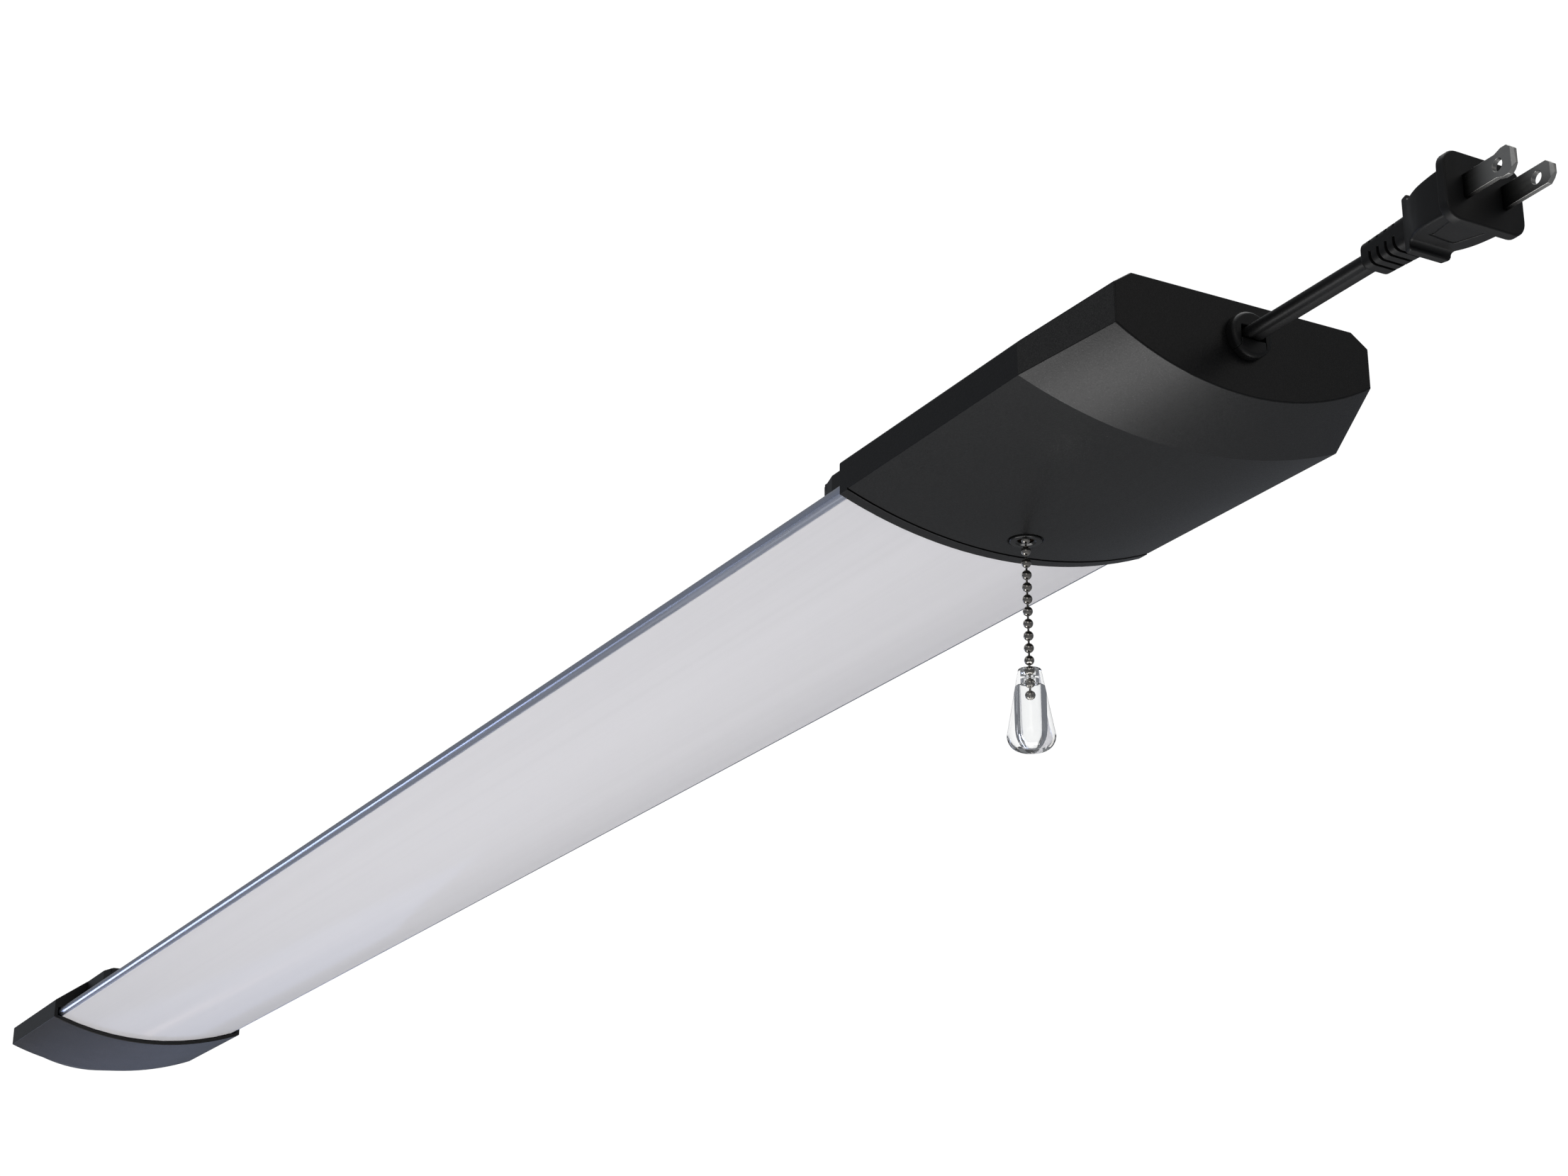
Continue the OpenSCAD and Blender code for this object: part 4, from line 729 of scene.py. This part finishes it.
class StageOperator(PieceOperator, bpy.types.Operator):
    """Makes the camera, the soft lights, the plain floor and the white surroundings"""

    bl_idname = "shop_light.stage"
    bl_label = "Stage, lights and camera"

    def build(self, look):
        scene = bpy.context.scene
        scene.view_settings.view_transform = "Standard"
        data = bpy.data.cameras.new("camera")
        data.lens, data.sensor_width = FOCAL_LENGTH, SENSOR_WIDTH
        data.clip_start, data.clip_end = 0.01, 50
        camera = bpy.data.objects.new("camera", data)
        scene.collection.objects.link(camera)
        right, up, ahead = (Vector(v).normalized() for v in CAMERA_AXES)
        place = Vector(CAMERA_PLACE) + Vector((CAP_END * MM, 0, 0))
        turn = Matrix((right, up, -ahead)).transposed().to_4x4()
        camera.matrix_world = Matrix.Translation(place) @ turn
        scene.camera = camera

        for light in LIGHTS:
            self.softbox(*light)
        self.surroundings(scene)

        mesh = bpy.data.meshes.new("floor")
        row_size = FLOOR_STEPS + 1
        marks = [FLOOR_REACH * (2 * i / FLOOR_STEPS - 1) for i in range(row_size)]
        starts = [j * row_size + i for j in range(FLOOR_STEPS) for i in range(FLOOR_STEPS)]
        mesh.from_pydata([(x, y, FLOOR_Z) for y in marks for x in marks], [],
                         [(k, k + 1, k + row_size + 1, k + row_size) for k in starts])
        floor = shown("floor", mesh)
        f = Finish("floor_paint", specular_ior_level=0.2)
        mottle = f.noise(90, 2)
        greys = f.ramp(mottle, (0.3, (0.8, 0.8, 0.8)), (0.7, (0.83, 0.83, 0.83)))
        mesh.materials.append(f.end(colour=greys, roughness=0.7 + 0.1 * mottle))

    def softbox(self, name, place, target, width, height, power, colour):
        """A soft rectangular light that the camera doesn't see."""
        data = bpy.data.lights.new(name, "AREA")
        data.shape = "RECTANGLE"
        data.size, data.size_y = width, height
        data.energy = power
        data.color = colour
        light = bpy.data.objects.new(name, data)
        light.location = place
        light.rotation_mode = "QUATERNION"
        light.rotation_quaternion = (Vector(target) - Vector(place)).to_track_quat("-Z", "Y")
        light.visible_camera = False
        bpy.context.scene.collection.objects.link(light)

    def surroundings(self, scene):
        """White paper where the camera looks past the light, and a dim room for what mirrors."""
        world = bpy.data.worlds.new("white_room")
        world.use_nodes = True
        room = Shading(world.node_tree)
        room.tree.nodes.clear()
        camera, glass, mirrors = (room.node("ShaderNodeLightPath", out=name) for name in (
            "Is Camera Ray", "Is Transmission Ray", "Glossy Depth"))
        seen = camera.math("MAXIMUM", camera, glass * (mirrors < 0.5))
        heading = room.node("ShaderNodeTexCoord", out="Generated")
        height = room.node("ShaderNodeSeparateXYZ", values={0: heading}, out="Z")
        walls = room.node("ShaderNodeBackground", values={
            "Color": room.ramp(height * 0.5 + 0.5, *ROOM_STOPS), "Strength": ROOM_STRENGTH})
        paper = room.node("ShaderNodeBackground", values={"Color": (1, 1, 1, 1), "Strength": PAPER_STRENGTH})
        both = room.node("ShaderNodeMixShader", values={0: seen, 1: walls, 2: paper})
        room.join(room.tree.nodes.new("ShaderNodeOutputWorld").inputs["Surface"], both)
        scene.world = world


class CordOperator(PieceOperator, bpy.types.Operator):
    """Makes the short flat cord, its jacketed end inside the cap and what it ends in"""

    bl_idname = "shop_light.cord"
    bl_label = "Cord"

    def build(self, look):
        core, lobe, waist = 1.7, 1.725, 0.62
        shoulder = lobe * (waist + 0.06)
        side = [(core + lobe * cos(radians(a)), lobe * sin(radians(a))) for a in range(-80, 81, 16)]
        half = side + [(0.35, shoulder), (0, lobe * waist), (-0.35, shoulder)]
        outline = half + [(-y, -z) for y, z in half]
        rings = 26
        path = [(RELIEF_X + (PLUG_X - RELIEF_X) * i / (rings - 1), 0, CORD_Z) for i in range(rings)]
        loops = [[(x, y, z0 + z) for y, z in outline] for x, _, z0 in path]
        cord = dressed(shown("power_cord", lofted("power_cord", loops)), "cord")
        self.plug()
        softened("neutral_blade", 0.12)
        softened("live_blade", 0.12)
        softened("cord_tail", 0.2)

    def plug(self):
        """The moulded plug: sleeve with flex grooves, finger ridges, waisted body and flange."""
        face_s = PLUG_FACE_X - PLUG_X
        flange_s = face_s - FLANGE_T
        # Stations: distance from the sleeve's rear, half width, half height and corner radius
        stations = self.swell(0, 4.0, 2.8, 2.2, 0.9, 5)
        sleeve = sorted({1.2 + 0.6 * i for i in range(32)} | {
            GROOVE_S + i * GROOVE_PITCH + t for i in range(GROOVE_COUNT) for t in (0, 0.09, 0.91, GROOVE_W)})
        stations += [(q, 4.9 + 0.4 * q / 20.2, 3.7 + 0.7 * q / 20.2, 2.3) for q in sleeve if q < BODY_S - 0.2]
        stations += [(BODY_S - 0.1, 5.25, 4.35, 2.3), (BODY_S, 5.3, 4.38, 2.3), (BODY_S, 5.55, 7.2, 0.8)]
        stations += self.swell(BODY_S, 5.65, 7.4, 0.8, 0.5, 6)
        body = list(RIDGE_HEIGHTS) + arc(WAIST_S, WAIST_HEIGHT + WAIST_R, WAIST_R, 180, 270, 9)
        step, rise = 0.125, 1.05
        body += [(WAIST_S + step * i, WAIST_HEIGHT + step * i / (flange_s - WAIST_S) * rise)
                 for i in range(1, 140)]
        stations += [(q, self.between(BODY_WIDTHS, q), h, 0.8) for q, h in body if q < flange_s - 0.15]
        stations += [(flange_s - 0.12, 9.95, 6.85, 1.0), (flange_s, 10.1, 7.0, 1.1),
                     (flange_s, 12.4, 9.2, 4.1)]
        stations += self.swell(flange_s, 12.45, 9.25, 4.3, 0.4, 5, 0.2)
        stations += self.swell(face_s, 12.25, 9.05, 4.3, 0.6, 6, 0.2, ahead=-1)[::-1]
        loops = [self.section(*station) for station in stations]
        return dressed(shown("plug_dressed", lofted("plug_dressed", loops, 65)), "plug_body")

    def swell(self, s, half_w, half_h, corner, radius, steps, growth=0.0, ahead=1):
        """Stations round an edge, which grow from the face at s outwards."""
        angles = [radians(90 * i / steps) for i in range(steps + 1)]
        return [(s + ahead * (radius - radius * cos(a)), half_w + radius * sin(a), half_h + radius * sin(a),
                 corner + growth * sin(a)) for a in angles]

    def between(self, table, value):
        """A smooth curve through (place, size) pairs."""
        index = max(i for i in range(len(table) - 1) if table[i][0] <= value or i == 0)
        (a, first), (b, second) = table[index], table[index + 1]
        share = (value - a) / (b - a)
        before = table[index - 1] if index else (2 * a - b, 2 * first - second)
        after = table[index + 2] if index + 2 < len(table) else (2 * b - a, 2 * second - first)
        slope_a = (second - before[1]) / (b - before[0]) * (b - a)
        slope_b = (after[1] - first) / (after[0] - a) * (b - a)
        return (first * (1 + 2 * share) * (1 - share) ** 2 + second * share ** 2 * (3 - 2 * share)
                + slope_a * share * (1 - share) ** 2 + slope_b * share ** 2 * (share - 1))

    def section(self, q, half_w, half_h, radius):
        """One rounded section of the plug, with what its grooves take away."""
        outline = []
        corners = ((1, -1), (1, 1), (-1, 1), (-1, -1))
        corner_steps, side_steps = 8, (12, 40, 12, 150)
        for quarter, (ys, zs) in enumerate(corners):
            cy, cz = ys * (half_w - radius), zs * (half_h - radius)
            for step in range(corner_steps + 1):
                a = radians(-90 + 90 * quarter + 90 * step / corner_steps)
                outline.append((cy + radius * cos(a), cz + radius * sin(a), cos(a), sin(a)))
            a = radians(90 * quarter)
            along = 2 * (half_h if quarter % 2 == 0 else half_w) - 2 * radius
            y, z = outline[-1][:2]
            for step in range(1, side_steps[quarter]):
                reach = along * step / side_steps[quarter]
                outline.append((y - reach * sin(a), z + reach * cos(a), cos(a), sin(a)))
        depths = [self.groove(q, y, z, nz) for y, z, _, nz in outline]
        return [(PLUG_X + q, y - depth * ny, CORD_Z + z - depth * nz)
                for (y, z, ny, nz), depth in zip(outline, depths)]

    def groove(self, q, y, z, nz):
        """How far the flex grooves or the lines round the lower panel go in at a place."""
        if q < BODY_S:
            number, turn = divmod(q - GROOVE_S, GROOVE_PITCH)
            inside = 0.05 < turn < GROOVE_W - 0.05 and 0 <= number < GROOVE_COUNT
            return GROOVE_DEPTH * (z < -0.4 or nz > 0.3) if inside else 0
        if q < PANEL_S or nz > -0.9:
            return 0
        near = LINE_REACH
        for line in PANEL_LINES:
            for (aq, ay), (bq, by) in zip(line, line[1:]):
                share = ((q - aq) * (bq - aq) + (y - ay) * (by - ay)) / ((bq - aq) ** 2 + (by - ay) ** 2)
                share = min(max(share, 0), 1)
                near = min(near, Vector((q - aq - share * (bq - aq), y - ay - share * (by - ay))).length)
        return LINE_DEPTH * min((LINE_REACH - near) / LINE_WALL, 1)


class CapOperator(PieceOperator, bpy.types.Operator):
    """Rounds and grains the two moulded end caps and their covers"""

    bl_idname = "shop_light.caps"
    bl_label = "End caps"

    def build(self, look):
        # The band and groove on the underside of the near cap's rim are rounded less
        band_end, band_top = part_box("near_cap")[0].x / MM + 5.3, -20
        softened("near_cap", look.edge_round / MM, 3,
                 fine=lambda place: place.x < band_end and place.z < band_top)
        softened("far_cap", look.edge_round / MM, 3)
        for node in ("near_lid", "far_lid"):
            softened(node, look.edge_round / MM * 0.8)


class ChannelOperator(PieceOperator, bpy.types.Operator):
    """Finishes the sheet metal channel and the frosted diffuser in it"""

    bl_idname = "shop_light.channel"
    bl_label = "Channel and diffuser"

    def build(self, look):
        softened("housing", 0.12)
        lens = softened("lens", 0.2)
        # It sits against the turned-in flange, so the rolled edge shows beyond it
        lift = 0.2 * MM
        lens.data.transform(Matrix.Translation((0, 0, lift)))


class LampOperator(PieceOperator, bpy.types.Operator):
    """Dresses the lamp boards and sets a row of chips on each"""

    bl_idname = "shop_light.lamps"
    bl_label = "Lamp boards"

    def build(self, look):
        kept("led_board_near", "led_board_far")
        softened("board_jumper", 0.15)
        for node in ("led_chips_near", "led_chips_far"):
            boxes = islands(node)
            low, high = boxes[0]
            middle = (low + high) / 2
            row(node + "_row", self.chip(*(high - low)), len(boxes), (middle.x, middle.y, high.z),
                (boxes[1][0].x - low.x, 0, 0), node)

    def chip(self, length, width, height):
        """A chip that hangs from its board, with a sunken window in its lower face."""
        loops = []
        for inset, drop in ((0, 0), (0, 0.85), (0.08, 1), (0.4, 1), (0.55, 0.75), (0.6, 0.75)):
            r = 0.3
            x, y = length / 2 - inset - r, width / 2 - inset - r
            corners = ((x, y, 0), (-x, y, 90), (-x, -y, 180), (x, -y, 270))
            loops.append([(cx + r * cos(radians(a)), cy + r * sin(radians(a)), -height * drop)
                          for cx, cy, start in corners for a in range(start, start + 91, 30)])
        mesh = lofted("chip", loops)
        window = mesh.attributes.new("window", "FLOAT", "FACE")
        reach_x, reach_y, depth = (length / 2 - 0.5) * MM, (width / 2 - 0.5) * MM, 0.6 * height * MM
        middles = [face.center for face in mesh.polygons]
        window.data.foreach_set("value", [
            float(abs(m.x) < reach_x and abs(m.y) < reach_y and m.z < -depth) for m in middles])
        return mesh


class ScrewOperator(PieceOperator, bpy.types.Operator):
    """Finishes the screws of the covers, channel, lamp boards and driver"""

    bl_idname = "shop_light.screws"
    bl_label = "Screws"

    def build(self, look):
        for node, head, shank, head_h, sunk, up in (
                ("near_lid_screws", 2.9, 1.45, 1.7, True, 1), ("far_lid_screws", 2.9, 1.45, 1.7, True, 1),
                ("channel_screws", 2.9, 1.45, 1.8, False, 1), ("board_screws", 2.2, 1.2, 1.2, False, -1),
                ("driver_screws", 2.4, 1.2, 1.4, False, 1)):
            boxes = islands(node)
            length = boxes[0][1].z - boxes[0][0].z
            places = [((low.x + high.x) / 2, (low.y + high.y) / 2, high.z if up > 0 else low.z, 0.7 * i)
                      for i, (low, high) in enumerate(boxes)]
            spots(node + "_set", self.screw(head, shank, head_h, length, sunk, up), places, node)

    def screw(self, head, shank, head_h, length, sunk, up):
        """A threaded screw with a cross recess, measured down from the top of its head."""
        arm, half = head * 0.56, head * 0.11
        corner = degrees(half / arm)
        angles = sorted({q * 90 + a for q in range(4) for a in (0, corner, 22, 45, 68, 90 - corner)})
        cross = []
        for a in angles:
            c, s = max(abs(cos(radians(a))), 1e-6), max(abs(sin(radians(a))), 1e-6)
            cross.append(max(min(arm / c, half / s), min(half / c, arm / s)))

        def ring(sizes, z):
            return [(r * cos(radians(a)), r * sin(radians(a)), up * z) for r, a in zip(sizes, angles)]

        loops = [ring([0.55 * r for r in cross], -0.65 * head_h), ring(cross, 0)]
        if sunk:
            profile = [(head - 0.08, 0), (head, -0.1), (shank, -head_h)]
        else:
            profile = [(head - 0.5, 0), (head - 0.14, -0.18), (head, -0.5), (head, -head_h + 0.05),
                       (head - 0.05, -head_h), (shank - 0.2, -head_h)]
        pitch, tip, root = 0.7, 0.7, shank * 0.8
        for i in range(int((length - head_h - 2 * tip) / pitch)):
            z = -head_h - 0.3 - pitch * i
            profile += [(root, z), (shank, z - 0.28), (shank, z - 0.36), (root, z - 0.66)]
        profile += [(root, -length + tip), (shank * 0.3, -length)]
        return lofted("screw", loops + [ring([r] * len(angles), z) for r, z in profile], 30)


class ReliefOperator(PieceOperator, bpy.types.Operator):
    """Casts the strain relief and its lower wedge"""

    bl_idname = "shop_light.relief"
    bl_label = "Strain relief"

    def build(self, look):
        cast("strain_relief", 0.16, 5)
        cast("relief_wedge", 0.12, 2)


class SwitchOperator(PieceOperator, bpy.types.Operator):
    """Dresses the pull switch inside the near cap"""

    bl_idname = "shop_light.switch"
    bl_label = "Pull switch"

    def build(self, look):
        for node, radius in (("switch_case", 0.3), ("switch_cover", 0.25), ("switch_terminals", 0.08)):
            softened(node, radius)
        kept("switch_plunger", "return_spring", "contact_drum", "drum_pin")


class ChainOperator(PieceOperator, bpy.types.Operator):
    """Turns the ring nut and strings the ball chain"""

    bl_idname = "shop_light.chain"
    bl_label = "Ring nut and chain"

    def build(self, look):
        outer, bore, neck, skirt, height = 5.05, 2.5, 4.6, 1.15, 3.05
        edge, throat, crown = 0.45, 0.25, 0.2
        outline = arc(outer - edge, edge, edge, -90, 0, 6)
        outline += [(outer, skirt), (neck, skirt), (neck, height), (bore, height)]
        outline += arc(bore + throat, 0.67, throat, 180, 250, 4)
        outline += arc(outer - 1.6 - crown, crown, crown, -60, -90, 3)
        nut = turned("ring_nut_dressed", outline, (CHAIN_X, 0, RING_FACE_Z), 128, sharp=50)
        dressed(shown("ring_nut_dressed", nut), "ring_nut")
        kept("chain_inner_bead", "chain_top_bead")
        radius, pitch = look.bead_radius / MM, look.bead_pitch / MM
        hole, rim = 0.5, 72
        pole = radius * sin(radians(rim))
        mouth = [(0, pole - 0.12), (hole * 0.5, pole - 0.12), (hole * 0.94, pole - 0.01)]
        bead = mouth + [(radius * cos(radians(a)), radius * sin(radians(a)))
                        for a in range(rim - 4, -rim + 3, -8)] + [(r, -z) for r, z in mouth[::-1]]
        row("chain_bead_row", turned("bead", bead, steps=28, loop=False, sharp=60), look.bead_count,
            (CHAIN_X, 0, FIRST_BEAD_Z - pitch), (0, 0, -pitch), "chain_beads")
        half = (pitch - 2 * radius) / 2 - 0.02
        end = [(0, half), (0.35, half), (0.35, half * 0.6), (0.3, half * 0.4)]
        wire = end + [(r, -z) for r, z in end[::-1]]
        row("chain_wire_row", turned("wire", wire, steps=16, loop=False), look.bead_count,
            (CHAIN_X, 0, FIRST_BEAD_Z - pitch / 2), (0, 0, -pitch), "chain_wires")


class BobOperator(PieceOperator, bpy.types.Operator):
    """Turns the clear bell-shaped pull on the end of the chain"""

    bl_idname = "shop_light.bob"
    bl_label = "Pull"

    def build(self, look):
        low, top = BOB_BOTTOM_Z + 0.9, BOB_TOP_Z
        widest, neck, bulge, foot = 7.4, 3.6, 4.2, 2.9
        socket, throat, hollow = 1.8, 1.0, 3.15
        lip_top, lip, hollow_top, hollow_low = -77.59, -78.43, -80.3, -88
        z_round, z_floor, edge = low + 4.6, low + 2.4, 0.4
        outline = [(0, low), (foot, low)]
        outline += [(widest - bulge + bulge * sin(radians(a)), z_round - (z_round - low) * cos(radians(a)))
                    for a in range(6, 91, 6)]
        outline += [(widest + (neck - widest) * t, z_round + (top - edge - z_round) * t)
                    for t in (0.15, 0.35, 0.55, 0.75, 0.9)]
        outline += arc(neck - edge, top - edge, edge, 0, 90, 4)
        outline += [(1.95, top), (socket, top - 0.15), (socket, lip_top), (throat, lip_top), (throat, lip),
                    (socket, lip), (socket, hollow_top), (hollow, hollow_top), (hollow, hollow_low)]
        outline += [(hollow * cos(radians(a)), z_floor + hollow - hollow * sin(radians(a)))
                    for a in range(0, 90, 9)] + [(0, z_floor)]
        bob = turned("pull_bob_dressed", outline, (CHAIN_X, 0, 0), 96, loop=False, sharp=50)
        dressed(shown("pull_bob_dressed", bob), "pull_bob")


class DriverOperator(PieceOperator, bpy.types.Operator):
    """Dresses the driver board, the pieces on it and the leads to it"""

    bl_idname = "shop_light.driver"
    bl_label = "Driver and leads"

    def build(self, look):
        kept("driver_board", "line_choke")
        for node, radius in (("transformer_core", 0.3), ("transformer_winding", 0.4),
                             ("bulk_capacitors", 0.3), ("film_capacitor", 0.5), ("fuse", 0.2),
                             ("bridge_rectifier", 0.25), ("heat_sink", 0.12), ("power_transistor", 0.2),
                             ("controller_chip", 0.12), ("input_connector", 0.15),
                             ("output_connector", 0.15)):
            softened(node, radius)
        for node in ("live_lead", "neutral_lead", "switched_lead", "led_lead_plus", "led_lead_minus"):
            drawn(node)


OPERATORS = (StageOperator, CordOperator, CapOperator, ChannelOperator, LampOperator, ScrewOperator,
             ReliefOperator, SwitchOperator, ChainOperator, BobOperator, DriverOperator)


class ShopLightPanel(bpy.types.Panel):
    """Lists the pieces of the shop light and the sizes and colours of its finishes"""

    bl_idname = "VIEW3D_PT_shop_light"
    bl_label = "Shop light"
    bl_space_type = "VIEW_3D"
    bl_region_type = "UI"
    bl_category = "Shop light"

    def draw(self, context):
        for operator in OPERATORS:
            self.layout.operator(operator.bl_idname)
        for name in ShopLightLook.__annotations__:
            self.layout.prop(context.scene.shop_light_look, name)


CLASSES = (ShopLightLook, *OPERATORS, ShopLightPanel)


def register():
    for cls in CLASSES:
        bpy.utils.register_class(cls)
    bpy.types.Scene.shop_light_look = PointerProperty(type=ShopLightLook)


def unregister():
    del bpy.types.Scene.shop_light_look
    for cls in reversed(CLASSES):
        bpy.utils.unregister_class(cls)


def main():
    register()
    for operator in OPERATORS:
        group, name = operator.bl_idname.split(".")
        getattr(getattr(bpy.ops, group), name)()


if __name__ == "__main__":
    main()
